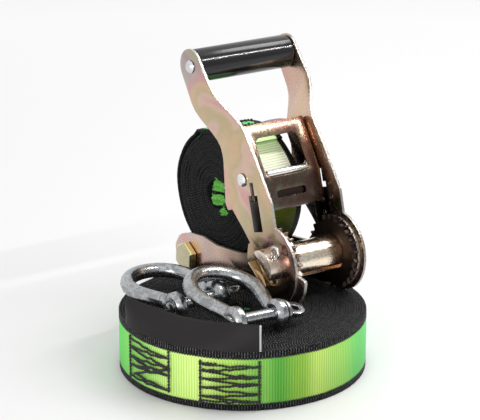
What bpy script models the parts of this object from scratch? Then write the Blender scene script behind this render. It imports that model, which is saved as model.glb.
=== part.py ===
"""A slackline kit at rest: the long line wound flat, a wide-handle ratchet on it, a short strap and shackles.

Metres, +Z up. The origin is on the axis of the big roll, at the surface that it lies on.
The ratchet's drum lies along Y, its frame runs towards -X and its handle swings over in the XZ plane.
"""

import math

import bmesh
import bpy
from mathutils import Matrix, Vector

# Webbing and the two wound rolls
WEBBING_WIDTH = 0.050
WEBBING_THICKNESS = 0.0022
WINDING_GAP = 0.0006
LOOP_POINTS = 24
LINE_ROLL_RADIUS = 0.104
LINE_CORE_RADIUS = 0.009
LINE_TURNS = 21
STRAP_ROLL_RADIUS = 0.0575
STRAP_CORE_RADIUS = 0.008
STRAP_TURNS = 13
STRAP_ROLL_BACK = 0.097
STRAP_ROLL_SIDE = -0.002
STRAP_ROLL_YAW = math.radians(3)
CORE_BEND_SHARE = 0.45
CORE_TAIL_SHARE = 0.70

# Clearances and cutter overrun
SEAT = 0.0003
RUNNING = 0.0003
OVERRUN = 0.002
ROUND_STEPS = 36
FILLET_STEPS = 4

# Ratchet: drum shaft, wheels and the plates beside them, measured out from the middle of the drum
DRUM_Y = 0.0573
LOBE_RADIUS = 0.034
SHAFT_RADIUS = 0.015
SHAFT_SLIT = 0.0055
SHAFT_SLIT_ANGLE = math.radians(51)
SHAFT_END_SHOW = 0.0112
SHAFT_STEP_SHOW = 0.0008
DRUM_SIDE_GAP = 0.0016
WHEEL_THICKNESS = 0.0042
WHEEL_TIP_RADIUS = 0.0315
WHEEL_ROOT_RADIUS = 0.0278
WHEEL_TEETH = 24
TOOTH_TOP_SHARE = 0.14
TOOTH_FLOOR_SHARE = 0.56
FRAME_THICKNESS = 0.0028
PLATE_THICKNESS = 0.0023
SPLIT_PIN_RADIUS = 0.0013
SPLIT_PIN_EYE_RADIUS = 0.0046
SPLIT_PIN_LEG_OVER = 0.004
SPLIT_PIN_PLACE_SHARE = 0.52
CLIP_THICKNESS = 0.0015
CLIP_WIDTH = 0.026
CLIP_DEPTH = 0.007
CLIP_SHIFT = -0.0035

# Handle: reach from the drum to the grip, and the outline that the two side plates share
HANDLE_TILT = math.radians(-32.8)
GRIP_REACH = 0.1795
GRIP_LOBE_RADIUS = 0.015
GRIP_PLATE_Y = 0.0507
FLARE_START_SHARE = 0.613
FLARE_START = GRIP_REACH * FLARE_START_SHARE
FLARE_END_SHARE = 0.847
FLARE_END = GRIP_REACH * FLARE_END_SHARE
FLARE_STEPS = 6
REAR_EDGE_SHARES = (
    (0.145, -0.56, 0.0), (0.212, -0.65, 0.3), (0.329, -0.85, 0.05), (0.334, -1.04, 0.08),
    (0.368, -1.06, 0.12), (0.474, -0.76, 0.6), (0.579, -0.47, 0.9), (0.724, -0.47, 0.6), (0.860, -0.45, 0.4),
)
FRONT_EDGE_SHARES = (
    (0.897, 0.49, 0.3), (0.780, 0.59, 0.8), (0.657, 0.68, 0.8), (0.579, 0.72, 0.6), (0.474, 0.78, 0.6),
    (0.362, 0.80, 0.4), (0.251, 0.82, 0.3),
)
MID_RIVET_UP = 0.076
MID_RIVET_FRONT = -0.001
RIVET_RADIUS = 0.0032
RIVET_HEAD_RADIUS = 0.0058
RIVET_HEAD_HEIGHT = 0.0022
GRIP_ROD_RADIUS = 0.004
GRIP_TUBE_RADIUS = 0.0142
GRIP_TUBE_WALL = 0.0095
GRIP_END_ROUND = 0.0015

# Web between the plates, with its window and slot
WEB_FRONT = 0.0146
WEB_SLANT_TOP = 0.070
WEB_SLANT = math.radians(17.2)
WEB_THICKNESS = 0.0022
WEB_TOP = 0.117
WEB_BOTTOM = 0.0435
WEB_BEND_RADIUS = 0.004
WEB_FLANGE_BACK = -0.014
WEB_FLANGE_BOTTOM = 0.046
WINDOW_BOTTOM = 0.0695
WINDOW_TOP = 0.105
WINDOW_HALF_WIDTH = 0.0225
WINDOW_CORNER = 0.007
WEB_SLOT_UP = 0.0555
WEB_SLOT_HEIGHT = 0.0060
WEB_SLOT_HALF_WIDTH = 0.0150

# Drive pawl: slides along a line that leans from the handle's line
PAWL_LINE_UP = 0.030
PAWL_LINE_FRONT = -0.0023
PAWL_LINE_LEAN = math.radians(17.2)
PAWL_THICKNESS = 0.0034
PAWL_TRAVEL = 0.0045
PAWL_SHOULDER = 0.018
PAWL_TOP = 0.0455
PAWL_LEG_OVERLAP = 0.0011
PAWL_UPPER_HALF_WIDTH = 0.0195
PAWL_ROLL_RADIUS = 0.0031
LUG_THICKNESS = 0.0122
LUG_BOTTOM = 0.0005
LUG_TOP = 0.026
LUG_SHOW = 0.0002
KEYHOLE_WIDTH = 0.0052
KEYHOLE_LENGTH = 0.011
TOOTH_BITE = 0.0014

# Frame: outline behind the drum, clamp bolt and lock pawl
FRAME_DRUM_RADIUS = 0.030
BOLT_BACK = 0.127
BOLT_RISE = 0.0056
BOLT_RIM_GAP = 0.02413
FRAME_EDGE_SHARES = (
    (-0.16, -0.265, 0.05), (-0.882, -0.265, 0.05), (-0.93, -0.318, 0.05), (-1.06, -0.325, 0.08),
    (-1.15, -0.262, 0.10), (-1.172, -0.19, 0.10), (-1.11, -0.092, 0.12), (-0.976, -0.050, 0.12),
    (-0.82, -0.034, 0.2), (-0.661, -0.052, 0.2), (-0.441, -0.033, 0.2), (-0.315, -0.016, 0.06),
)
HOOK_SHARES = (
    (0.30, -0.004, 0.0), (1.00, -0.050, 0.06), (0.96, -0.30, 0.12), (0.80, -0.54, 0.12),
    (0.66, -0.62, 0.04),
)
HOOK_REACH = 0.043
BOLT_RADIUS = 0.0075
HEX_FLAT_RADIUS = 0.012
HEX_TURN = math.radians(26)
BOLT_HEAD_HEIGHT = 0.0065
NUT_HEIGHT = 0.008
BOLT_END_SHOW = 0.004
SLEEVE_RADIUS = 0.0095
SLEEVE_WALL = 0.0016
LOCK_PAWL_THICKNESS = 0.003
LOCK_PAWL_LENGTH = 0.030
LOCK_PAWL_TRAVEL = 0.006
LOCK_EAR_START = 0.0135
LOCK_EAR_LENGTH = 0.011
LOCK_EAR_SHOW = 0.0042
LOCK_SPRING_RADIUS = 0.0030
LOCK_GUIDE_THICKNESS = 0.0025
LOCK_GUIDE_HEIGHT = 0.012
LOCK_GUIDE_GAP = 0.0055
SPRING_WIRE = 0.0005
SPRING_TURNS = 6
SPRING_POINTS = 8
DRIVE_SPRING_RADIUS = 0.0021
DRIVE_SPRING_LENGTH = 0.012
DRIVE_SPRING_Y = 0.0235

# Shackles: one size, lying in two places
BAR_RADIUS = 0.0063
EAR_SPREAD = 0.043
BOW_LENGTH = 0.0706
BOW_HALF_WIDTH = 0.0298
EAR_RADIUS = 0.0118
EAR_FACE_SHARE = 0.74
EAR_THICKNESS = 0.0118
SHACKLE_PIN_RADIUS = 0.0048
PIN_END_SHOW = 0.0008
PIN_COLLAR_RADIUS = 0.0098
PIN_COLLAR_LENGTH = 0.0042
PIN_COLLAR_FACE_SHARE = 0.72
PIN_TAB_LENGTH = 0.0165
PIN_TAB_WIDTH = 0.0165
PIN_TAB_THICKNESS = 0.0042
PIN_TAB_HOLE_RADIUS = 0.0033
PIN_TAB_ROOT_SHARE = 0.5
BAR_SIDES = 12
BOW_STEPS = 16
LEG_STEPS = 3
SHACKLE_RIM_GAP = 0.0426
SHACKLE_SIDE_SHARE = 0.2808
SHACKLE_B_PLACE = (LINE_ROLL_RADIUS - SHACKLE_RIM_GAP, -LINE_ROLL_RADIUS * SHACKLE_SIDE_SHARE)
SHACKLES_APART = (0.0641, 0.0149)
SHACKLE_A_PLACE = tuple(place - apart for place, apart in zip(SHACKLE_B_PLACE, SHACKLES_APART))
SHACKLE_A_RISE = 0.0135
SHACKLE_A_TURN = (math.radians(4.3), math.radians(0.8), math.radians(97.6))
SHACKLE_A_TAB_TURN = math.radians(-25)
SHACKLE_B_RISE = 0.0160
SHACKLE_B_TURN = (math.radians(14.3), math.radians(4.9), math.radians(94.0))
SHACKLE_B_TAB_TURN = math.radians(4)

# Label sewn into the outer turns of the line
LABEL_INSET = 0.0035
LABEL_START = math.radians(-101)
LABEL_END = math.radians(-27)
LABEL_HEIGHT = 0.017
LABEL_THICKNESS = 0.0016
LABEL_LEAN_SHARE = 0.72
LABEL_STEPS = 14

ALONG_Y = Matrix.Rotation(math.radians(-90), 4, "X")


def material(name, colour, roughness, metallic=0.0):
    """One Principled finish for one kind of piece."""
    made = bpy.data.materials.new(name)
    made.use_nodes = True
    shader = made.node_tree.nodes["Principled BSDF"]
    shader.inputs["Base Color"].default_value = (*colour, 1.0)
    shader.inputs["Roughness"].default_value = roughness
    shader.inputs["Metallic"].default_value = metallic
    return made


def place(name, mesh_source, finish, parent=None, matrix=None):
    """Turn a bmesh into a named object, with outward faces and smooth round sides."""
    bmesh.ops.recalc_face_normals(mesh_source, faces=mesh_source.faces)
    mesh = bpy.data.meshes.new(name)
    mesh_source.to_mesh(mesh)
    mesh_source.free()
    mesh.shade_smooth()
    mesh.set_sharp_from_angle(angle=math.radians(35))
    item = bpy.data.objects.new(name, mesh)
    item.data.materials.append(finish)
    bpy.context.scene.collection.objects.link(item)
    item.parent = parent
    if matrix is not None:
        item.matrix_local = matrix
    return item


def axis_empty(name, location, parent=None, turn=(0.0, 0.0, 0.0)):
    """An empty on a joint's axis, which carries the pieces that move together."""
    holder = bpy.data.objects.new(name, None)
    holder.location = location
    holder.rotation_euler = turn
    holder.parent = parent
    bpy.context.scene.collection.objects.link(holder)
    return holder


def cut(item, *cutters):
    """Subtract each cutter from the item, and keep the cutters as hidden guides."""
    for cutter in cutters:
        change = item.modifiers.new(cutter.name, "BOOLEAN")
        change.operation = "DIFFERENCE"
        change.solver = "EXACT"
        change.object = cutter
        cutter.hide_render = True
        cutter.display_type = "WIRE"


def join(item, *others):
    """Fuse hidden helper shapes into the item, so that it stays one solid."""
    for other in others:
        change = item.modifiers.new(other.name, "BOOLEAN")
        change.operation = "UNION"
        change.solver = "EXACT"
        change.object = other
        other.hide_render = True
        other.display_type = "WIRE"


def arc(centre, radius, start, end, steps):
    """Points of an arc in a plane, both ends included."""
    turn = (end - start) / steps
    return [
        (centre[0] + radius * math.cos(start + turn * i), centre[1] + radius * math.sin(start + turn * i))
        for i in range(steps + 1)
    ]


def filleted(corners):
    """Round each corner (across, up, fillet radius) of a closed or open run of points."""
    points = []
    count = len(corners)
    for i, (across, up, radius) in enumerate(corners):
        here = Vector((across, up))
        before = Vector(corners[i - 1][:2]) - here
        after = Vector(corners[(i + 1) % count][:2]) - here
        if radius <= 0 or min(before.length, after.length) == 0:
            points.append((across, up))
            continue
        angle = before.angle(after)
        back = min(radius / math.tan(angle / 2), before.length * 0.45, after.length * 0.45)
        start = here + before.normalized() * back
        end = here + after.normalized() * back
        for k in range(FILLET_STEPS + 1):
            share = k / FILLET_STEPS
            point = start * (1 - share) ** 2 + here * (2 * share * (1 - share)) + end * share**2
            points.append((point.x, point.y))
    return points


def prism(outline, low, high):
    """Extrude an outline of (x, z) points along Y, from low to high."""
    made = bmesh.new()
    ring = [made.verts.new((x, low, z)) for x, z in outline]
    face = made.faces.new(ring)
    grown = bmesh.ops.extrude_face_region(made, geom=[face])
    lifted = [v for v in grown["geom"] if isinstance(v, bmesh.types.BMVert)]
    bmesh.ops.translate(made, verts=lifted, vec=(0, high - low, 0))
    return made


def turned(profile, steps=ROUND_STEPS):
    """Revolve (radius, height) points about Z; they start and end on the axis or close on themselves."""
    made = bmesh.new()
    rings = []
    for radius, height in profile:
        if radius == 0:
            rings.append([made.verts.new((0, 0, height))])
            continue
        turns = [math.tau * k / steps for k in range(steps)]
        rings.append([made.verts.new((radius * math.cos(a), radius * math.sin(a), height)) for a in turns])
    pairs = list(zip(rings, rings[1:]))
    if profile[0][0] > 0:
        pairs.append((rings[-1], rings[0]))
    for lower, upper in pairs:
        for k in range(steps):
            nxt = (k + 1) % steps
            if len(lower) == 1:
                made.faces.new((lower[0], upper[k], upper[nxt]))
            elif len(upper) == 1:
                made.faces.new((lower[k], lower[nxt], upper[0]))
            else:
                made.faces.new((lower[k], lower[nxt], upper[nxt], upper[k]))
    return made


def rod(radius, low, high, steps=ROUND_STEPS):
    """A plain round bar along Z."""
    return turned([(0, low), (radius, low), (radius, high), (0, high)], steps)


def box(low, high):
    """A box between two corners."""
    made = bmesh.new()
    bmesh.ops.create_cube(made, size=1.0)
    size = Vector(high) - Vector(low)
    middle = (Vector(high) + Vector(low)) / 2
    bmesh.ops.scale(made, vec=size, verts=made.verts)
    bmesh.ops.translate(made, vec=middle, verts=made.verts)
    return made


def tube(points, radius, sides):
    """A round wire through the points, whose last ring of faces closes each end."""
    made = bmesh.new()
    path = [Vector(p) for p in points]
    normal = None
    rings = []
    for i, point in enumerate(path):
        ahead = path[min(i + 1, len(path) - 1)] - path[max(i - 1, 0)]
        ahead.normalize()
        if normal is None:
            normal = ahead.orthogonal().normalized()
        normal = (normal - ahead * normal.dot(ahead)).normalized()
        other = ahead.cross(normal)
        rings.append([
            made.verts.new(point + radius * (normal * math.cos(math.tau * k / sides)
                                             + other * math.sin(math.tau * k / sides)))
            for k in range(sides)
        ])
    for lower, upper in zip(rings, rings[1:]):
        for k in range(sides):
            nxt = (k + 1) % sides
            made.faces.new((lower[k], lower[nxt], upper[nxt], upper[k]))
    made.faces.new(list(reversed(rings[0])))
    made.faces.new(rings[-1])
    return made


def wound_path(core, outer, turns):
    """The middle line of a webbing roll, from the tongue across its core outwards, and its thickness."""
    bend = core * CORE_BEND_SHARE
    first_radius = math.hypot(core, bend)
    first_angle = math.atan2(bend, core)
    pitch = (outer + WINDING_GAP / 2 - first_radius) / (turns + 0.5)
    thickness = pitch - WINDING_GAP
    points = [(-core * CORE_TAIL_SHARE, 0.0), (0.0, 0.0)]
    points += arc((core - bend, bend), bend, math.radians(-90), 0.0, FILLET_STEPS)
    for k in range(1, turns * LOOP_POINTS + 1):
        share = k / LOOP_POINTS
        radius = first_radius + pitch * share
        angle = first_angle + math.tau * share
        points.append((radius * math.cos(angle), radius * math.sin(angle)))
    return points, thickness


def least_gap(points, thickness):
    """The smallest distance between the faces of neighbouring turns."""
    least = math.inf
    for i, (x, y) in enumerate(points):
        for other_x, other_y in points[i + LOOP_POINTS // 2:i + LOOP_POINTS * 3 // 2]:
            least = min(least, math.hypot(other_x - x, other_y - y) - thickness)
    return least


def wound_band(name, core, outer, turns, finish, matrix):
    """Webbing wound on itself as one unbroken flat band, its width along Z."""
    points, thickness = wound_path(core, outer, turns)
    made = bmesh.new()
    rings = []
    for i, (x, y) in enumerate(points):
        here = Vector((x, y))
        before = (here - Vector(points[i - 1])).normalized() if i else None
        after = (Vector(points[i + 1]) - here).normalized() if i + 1 < len(points) else None
        along = ((before or after) + (after or before)).normalized()
        side = Vector((-along.y, along.x))
        mitre = 1 / max(along.dot(after or before), 0.5)
        left, right = here + side * thickness / 2 * mitre, here - side * thickness / 2 * mitre
        rings.append([
            made.verts.new((left.x, left.y, 0)), made.verts.new((right.x, right.y, 0)),
            made.verts.new((right.x, right.y, WEBBING_WIDTH)),
            made.verts.new((left.x, left.y, WEBBING_WIDTH)),
        ])
    for one, two in zip(rings, rings[1:]):
        for k in range(4):
            nxt = (k + 1) % 4
            made.faces.new((one[k], one[nxt], two[nxt], two[k]))
    made.faces.new(list(reversed(rings[0])))
    made.faces.new(rings[-1])
    print(f"{name}: least gap to itself {least_gap(points, thickness) * 1000:.2f} mm")
    return place(name, made, finish, matrix=matrix)


def guide(name, mesh_source, parent=None, matrix=None):
    """A hidden cutter or helper shape."""
    return place(name, mesh_source, STEEL, parent, matrix)


for leftover in list(bpy.data.objects):
    bpy.data.objects.remove(leftover, do_unlink=True)

WEBBING = material("green_webbing", (0.30, 0.72, 0.22), 0.8)
LABEL_CLOTH = material("label_satin", (0.03, 0.025, 0.025), 0.55)
STEEL = material("yellow_passivated_steel", (0.72, 0.60, 0.45), 0.32, 0.9)
DARK_STEEL = material("dark_passivated_steel", (0.16, 0.11, 0.09), 0.4, 0.8)
GALVANISED = material("galvanised_steel", (0.62, 0.64, 0.65), 0.38, 0.95)
BRIGHT_STEEL = material("bright_steel", (0.75, 0.74, 0.72), 0.28, 1.0)
GRIP_PLASTIC = material("black_grip", (0.012, 0.012, 0.014), 0.22)

BOLT_HEIGHT = WEBBING_WIDTH + BOLT_RISE
DRUM_X = BOLT_BACK - math.sqrt((LINE_ROLL_RADIUS + BOLT_RIM_GAP) ** 2 - DRUM_Y**2)
DRUM_Z = WEBBING_WIDTH + LOBE_RADIUS + SEAT
DRUM = Vector((DRUM_X, DRUM_Y, DRUM_Z))
WHEEL_INNER_Y = WEBBING_WIDTH / 2 + DRUM_SIDE_GAP
PAWL_LEG_INNER_Y = WHEEL_INNER_Y - PAWL_LEG_OVERLAP
FRAME_INNER_Y = WHEEL_INNER_Y + WHEEL_THICKNESS + RUNNING
FRAME_OUTER_Y = FRAME_INNER_Y + FRAME_THICKNESS
PLATE_INNER_Y = FRAME_OUTER_Y + RUNNING
PLATE_OUTER_Y = PLATE_INNER_Y + PLATE_THICKNESS
SHAFT_END_REACH = PLATE_OUTER_Y + SHAFT_END_SHOW
SIDES = (("left", -1), ("right", 1))

drum_axis = axis_empty("drum_axis", DRUM)
handle_axis = axis_empty("handle_axis", (0, 0, 0), drum_axis, (0, HANDLE_TILT, 0))


def between(side, near, far):
    """The low and high Y of a piece on one side of the drum's middle."""
    return (near, far) if side > 0 else (-far, -near)


# The long line and its label

wound_band("line_roll", LINE_CORE_RADIUS, LINE_ROLL_RADIUS, LINE_TURNS, WEBBING, Matrix.Identity(4))


def make_label():
    """A folded satin tag whose foot follows the rim and whose top edge runs straight."""
    made = bmesh.new()
    rings = []
    first = Vector((math.cos(LABEL_START), math.sin(LABEL_START)))
    last = Vector((math.cos(LABEL_END), math.sin(LABEL_END)))
    rim = LINE_ROLL_RADIUS - LABEL_INSET
    foot_z = WEBBING_WIDTH + SEAT
    for k in range(LABEL_STEPS + 1):
        share = k / LABEL_STEPS
        angle = LABEL_START + (LABEL_END - LABEL_START) * share
        out = Vector((math.cos(angle), math.sin(angle)))
        chord = first.lerp(last, share)
        lean = (out - chord) * rim * LABEL_LEAN_SHARE
        foot = out * rim
        head = foot - lean
        drop = LABEL_HEIGHT - lean.length * LABEL_LEAN_SHARE * LABEL_LEAN_SHARE
        head_z = foot_z + max(drop, LABEL_HEIGHT / 2)
        inward = out * LABEL_THICKNESS
        rings.append([
            made.verts.new((foot.x, foot.y, foot_z)),
            made.verts.new((head.x, head.y, head_z)),
            made.verts.new((head.x - inward.x, head.y - inward.y, head_z)),
            made.verts.new((foot.x - inward.x, foot.y - inward.y, foot_z)),
        ])
    for one, two in zip(rings, rings[1:]):
        for k in range(4):
            nxt = (k + 1) % 4
            made.faces.new((one[k], one[nxt], two[nxt], two[k]))
    made.faces.new(list(reversed(rings[0])))
    made.faces.new(rings[-1])
    return place("line_label", made, LABEL_CLOTH)


make_label()


# Drum: two half-round bars, two toothed wheels, split pins and the clip at the near end

def half_bar_outline(turn):
    """The section of one half-round bar, its flat towards the slit."""
    lift = SHAFT_SLIT / 2
    reach = math.asin(lift / SHAFT_RADIUS)
    return arc((0, 0), SHAFT_RADIUS, turn + reach, turn + math.pi - reach, ROUND_STEPS // 2)


PIN_HOLE_Y = PLATE_OUTER_Y + SHAFT_END_SHOW * SPLIT_PIN_PLACE_SHARE
PIN_ALONG = Matrix.Rotation(math.radians(90) - SHAFT_SLIT_ANGLE, 4, "Y")
HALF_SHAFTS = (
    ("half_shaft_upper", SHAFT_SLIT_ANGLE - math.radians(90), SHAFT_END_REACH, SIDES),
    ("half_shaft_lower", SHAFT_SLIT_ANGLE + math.radians(90), PLATE_OUTER_Y + SHAFT_STEP_SHOW, SIDES[1:]),
)
for shaft_name, shaft_turn, near_reach, pinned_sides in HALF_SHAFTS:
    half_bar = prism(half_bar_outline(shaft_turn), -near_reach, SHAFT_END_REACH)
    shaft = place(shaft_name, half_bar, STEEL, drum_axis)
    for side_name, side in pinned_sides:
        hole = guide(
            f"{shaft_name}_{side_name}_pin_hole",
            rod(
                SPLIT_PIN_RADIUS + RUNNING, -SHAFT_RADIUS - OVERRUN, SHAFT_RADIUS + OVERRUN, ROUND_STEPS // 4
            ),
            drum_axis, Matrix.Translation((0, side * PIN_HOLE_Y, 0)) @ PIN_ALONG,
        )
        cut(shaft, hole)


def wheel_outline(first_face):
    """Saw teeth whose steep faces stand at first_face and every tooth pitch from it."""
    pitch = math.tau / WHEEL_TEETH
    points = []
    for k in range(WHEEL_TEETH):
        face = first_face + pitch * k
        floor = face - pitch * TOOTH_FLOOR_SHARE
        points.append((WHEEL_ROOT_RADIUS * math.cos(floor), WHEEL_ROOT_RADIUS * math.sin(floor)))
        points.append((WHEEL_ROOT_RADIUS * math.cos(face), WHEEL_ROOT_RADIUS * math.sin(face)))
        points.append((WHEEL_TIP_RADIUS * math.cos(face), WHEEL_TIP_RADIUS * math.sin(face)))
        top = face + pitch * TOOTH_TOP_SHARE
        points.append((WHEEL_TIP_RADIUS * math.cos(top), WHEEL_TIP_RADIUS * math.sin(top)))
    return points


def in_row_plane(up, front):
    """A handle point (up from the drum, front of its line) as (x, z) from the drum."""
    sine, cosine = math.sin(HANDLE_TILT), math.cos(HANDLE_TILT)
    return up * sine + front * cosine, up * cosine - front * sine


PAWL_TILT = HANDLE_TILT + PAWL_LINE_LEAN
PAWL_FOOT = Vector(in_row_plane(PAWL_LINE_UP, PAWL_LINE_FRONT))
PAWL_DOWN = Vector((-math.sin(PAWL_TILT), -math.cos(PAWL_TILT)))
PAWL_FRONT = Vector((math.cos(PAWL_TILT), -math.sin(PAWL_TILT)))
PAWL_TIP = PAWL_FOOT + PAWL_DOWN * TOOTH_BITE
PAWL_REAR_CORNER = PAWL_TIP - PAWL_FRONT * (PAWL_THICKNESS / 2)
TOOTH_FACE = math.atan2(PAWL_REAR_CORNER.y, PAWL_REAR_CORNER.x) + RUNNING / WHEEL_ROOT_RADIUS
LOCK_FACE = TOOTH_FACE + math.radians(90)
for side_name, side in SIDES:
    wheel = place(
        f"ratchet_wheel_{side_name}",
        prism(wheel_outline(TOOTH_FACE), *between(side, WHEEL_INNER_Y, WHEEL_INNER_Y + WHEEL_THICKNESS)),
        STEEL, drum_axis,
    )
    bore = guide(
        f"ratchet_wheel_{side_name}_bore", rod(SHAFT_RADIUS + RUNNING, -SHAFT_END_REACH, SHAFT_END_REACH),
        drum_axis, ALONG_Y,
    )
    cut(wheel, bore)


def split_pin_points(leaves):
    """A split pin: a round eye above the shaft and one leg through it, bent over where it leaves."""
    top = SHAFT_RADIUS + SPLIT_PIN_RADIUS
    eye_centre = (0.0, top + SPLIT_PIN_EYE_RADIUS)
    eye = arc(eye_centre, SPLIT_PIN_EYE_RADIUS, math.radians(-60), math.radians(240), ROUND_STEPS // 3)
    points = [(across, 0.0, up) for across, up in eye]
    bend = leaves - SPLIT_PIN_RADIUS
    points += [(0.0, 0.0, SHAFT_RADIUS), (0.0, 0.0, (SHAFT_RADIUS + leaves) / 2), (0.0, 0.0, bend)]
    points += [(SPLIT_PIN_RADIUS, 0.0, bend - SPLIT_PIN_RADIUS)]
    points += [(SPLIT_PIN_LEG_OVER, 0.0, bend - SPLIT_PIN_RADIUS * 2)]
    return points


for side_name, side in SIDES:
    leaves = SHAFT_SLIT / 2 if side < 0 else -SHAFT_RADIUS
    place(
        f"split_pin_{side_name}", tube(split_pin_points(leaves), SPLIT_PIN_RADIUS, BAR_SIDES), BRIGHT_STEEL,
        drum_axis, Matrix.Translation((0, side * PIN_HOLE_Y, 0)) @ PIN_ALONG,
    )

CLIP_FAR_Y = -PLATE_OUTER_Y - SEAT
place(
    "shaft_clip",
    box(
        (SHAFT_RADIUS + SEAT, CLIP_FAR_Y - CLIP_DEPTH, CLIP_SHIFT - CLIP_WIDTH / 2),
        (SHAFT_RADIUS + SEAT + CLIP_THICKNESS, CLIP_FAR_Y, CLIP_SHIFT + CLIP_WIDTH / 2),
    ),
    STEEL, drum_axis, Matrix.Rotation(-SHAFT_SLIT_ANGLE - math.radians(180), 4, "Y"),
)


# Frame: two side plates, clamp bolt with its sleeve and nut, lock pawl and its guide

def frame_outline(side):
    """The side plate from the clamp bolt round the drum; the near one has a hook in front of the drum."""
    rear = [tuple(share * BOLT_BACK for share in corner) for corner in FRAME_EDGE_SHARES]
    hook = [tuple(share * HOOK_REACH for share in corner) for corner in HOOK_SHARES]
    end = math.radians(0 if side < 0 else -72)
    crown = arc((0, 0), FRAME_DRUM_RADIUS, math.radians(135), end, ROUND_STEPS // 3)
    corners = rear + [(x, z, 0.0) for x, z in crown] + (hook[1:] if side < 0 else [])
    return filleted(corners)


LOCK_TIP_ANGLE = LOCK_FACE - RUNNING / WHEEL_ROOT_RADIUS
ROOT_CLEAR = WHEEL_ROOT_RADIUS + SEAT
LOCK_TIP_RADIUS = (
    math.sqrt(ROOT_CLEAR**2 - (LOCK_PAWL_THICKNESS * math.cos(LOCK_TIP_ANGLE)) ** 2)
    - LOCK_PAWL_THICKNESS * math.sin(LOCK_TIP_ANGLE)
)
LOCK_CORNER = (LOCK_TIP_RADIUS * math.cos(LOCK_TIP_ANGLE), LOCK_TIP_RADIUS * math.sin(LOCK_TIP_ANGLE))
LOCK_TIP_X = LOCK_CORNER[0]
LOCK_LOW_Z = LOCK_CORNER[1]
LOCK_MID_Z = LOCK_LOW_Z + LOCK_PAWL_THICKNESS / 2
EAR_HIGH_X = LOCK_TIP_X - LOCK_EAR_START
EAR_LOW_X = EAR_HIGH_X - LOCK_EAR_LENGTH
BOLT_DZ = BOLT_HEIGHT - DRUM_Z
for side_name, side in SIDES:
    low, high = between(side, FRAME_INNER_Y, FRAME_OUTER_Y)
    plate = place(f"frame_plate_{side_name}", prism(frame_outline(side), low, high), STEEL, drum_axis)
    shaft_hole = guide(
        f"frame_{side_name}_shaft_hole", rod(SHAFT_RADIUS + RUNNING, -SHAFT_END_REACH, SHAFT_END_REACH),
        drum_axis, ALONG_Y,
    )
    bolt_hole = guide(
        f"frame_{side_name}_bolt_hole", rod(BOLT_RADIUS + RUNNING, -SHAFT_END_REACH, SHAFT_END_REACH),
        drum_axis, Matrix.Translation((-BOLT_BACK, 0, BOLT_DZ)) @ ALONG_Y,
    )
    ear_slot = guide(
        f"frame_{side_name}_ear_slot",
        box(
            (EAR_LOW_X - LOCK_PAWL_TRAVEL - RUNNING, low - OVERRUN, LOCK_LOW_Z - RUNNING),
            (EAR_HIGH_X + RUNNING, high + OVERRUN, LOCK_LOW_Z + LOCK_PAWL_THICKNESS + RUNNING),
        ),
        drum_axis,
    )
    cut(plate, shaft_hole, bolt_hole, ear_slot)

HEX_CORNER_RADIUS = HEX_FLAT_RADIUS / math.cos(math.radians(30))
HEAD_SEAT_Y = FRAME_OUTER_Y + SEAT
NUT_TOP_Y = HEAD_SEAT_Y + NUT_HEIGHT
BOLT_FRAME = Matrix.Translation((-BOLT_BACK, 0, BOLT_DZ)) @ Matrix.Rotation(-HEX_TURN, 4, "Y") @ ALONG_Y
head_bevel = HEX_CORNER_RADIUS - HEX_FLAT_RADIUS
bolt = place(
    "clamp_bolt",
    turned([
        (0, -HEAD_SEAT_Y - BOLT_HEAD_HEIGHT), (HEX_FLAT_RADIUS, -HEAD_SEAT_Y - BOLT_HEAD_HEIGHT),
        (HEX_CORNER_RADIUS, -HEAD_SEAT_Y - BOLT_HEAD_HEIGHT + head_bevel),
        (HEX_CORNER_RADIUS, -HEAD_SEAT_Y), (0, -HEAD_SEAT_Y),
    ], 6),
    STEEL, drum_axis, BOLT_FRAME,
)
shank = guide(
    "clamp_bolt_shank", rod(BOLT_RADIUS, -HEAD_SEAT_Y - head_bevel, NUT_TOP_Y + BOLT_END_SHOW),
    drum_axis, BOLT_FRAME,
)
join(bolt, shank)
nut = place("clamp_nut", turned([
    (0, HEAD_SEAT_Y), (HEX_CORNER_RADIUS, HEAD_SEAT_Y), (HEX_CORNER_RADIUS, NUT_TOP_Y - head_bevel),
    (HEX_FLAT_RADIUS, NUT_TOP_Y), (0, NUT_TOP_Y),
], 6), STEEL, drum_axis, BOLT_FRAME)
nut_bore = guide(
    "clamp_nut_bore", rod(BOLT_RADIUS + RUNNING, HEAD_SEAT_Y - OVERRUN, NUT_TOP_Y + OVERRUN),
    drum_axis, BOLT_FRAME,
)
cut(nut, nut_bore)
SLEEVE_HALF = FRAME_INNER_Y - SEAT
place("clamp_sleeve", turned([
    (SLEEVE_RADIUS - SLEEVE_WALL, -SLEEVE_HALF), (SLEEVE_RADIUS, -SLEEVE_HALF),
    (SLEEVE_RADIUS, SLEEVE_HALF), (SLEEVE_RADIUS - SLEEVE_WALL, SLEEVE_HALF),
]), BRIGHT_STEEL, drum_axis, BOLT_FRAME)

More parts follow.
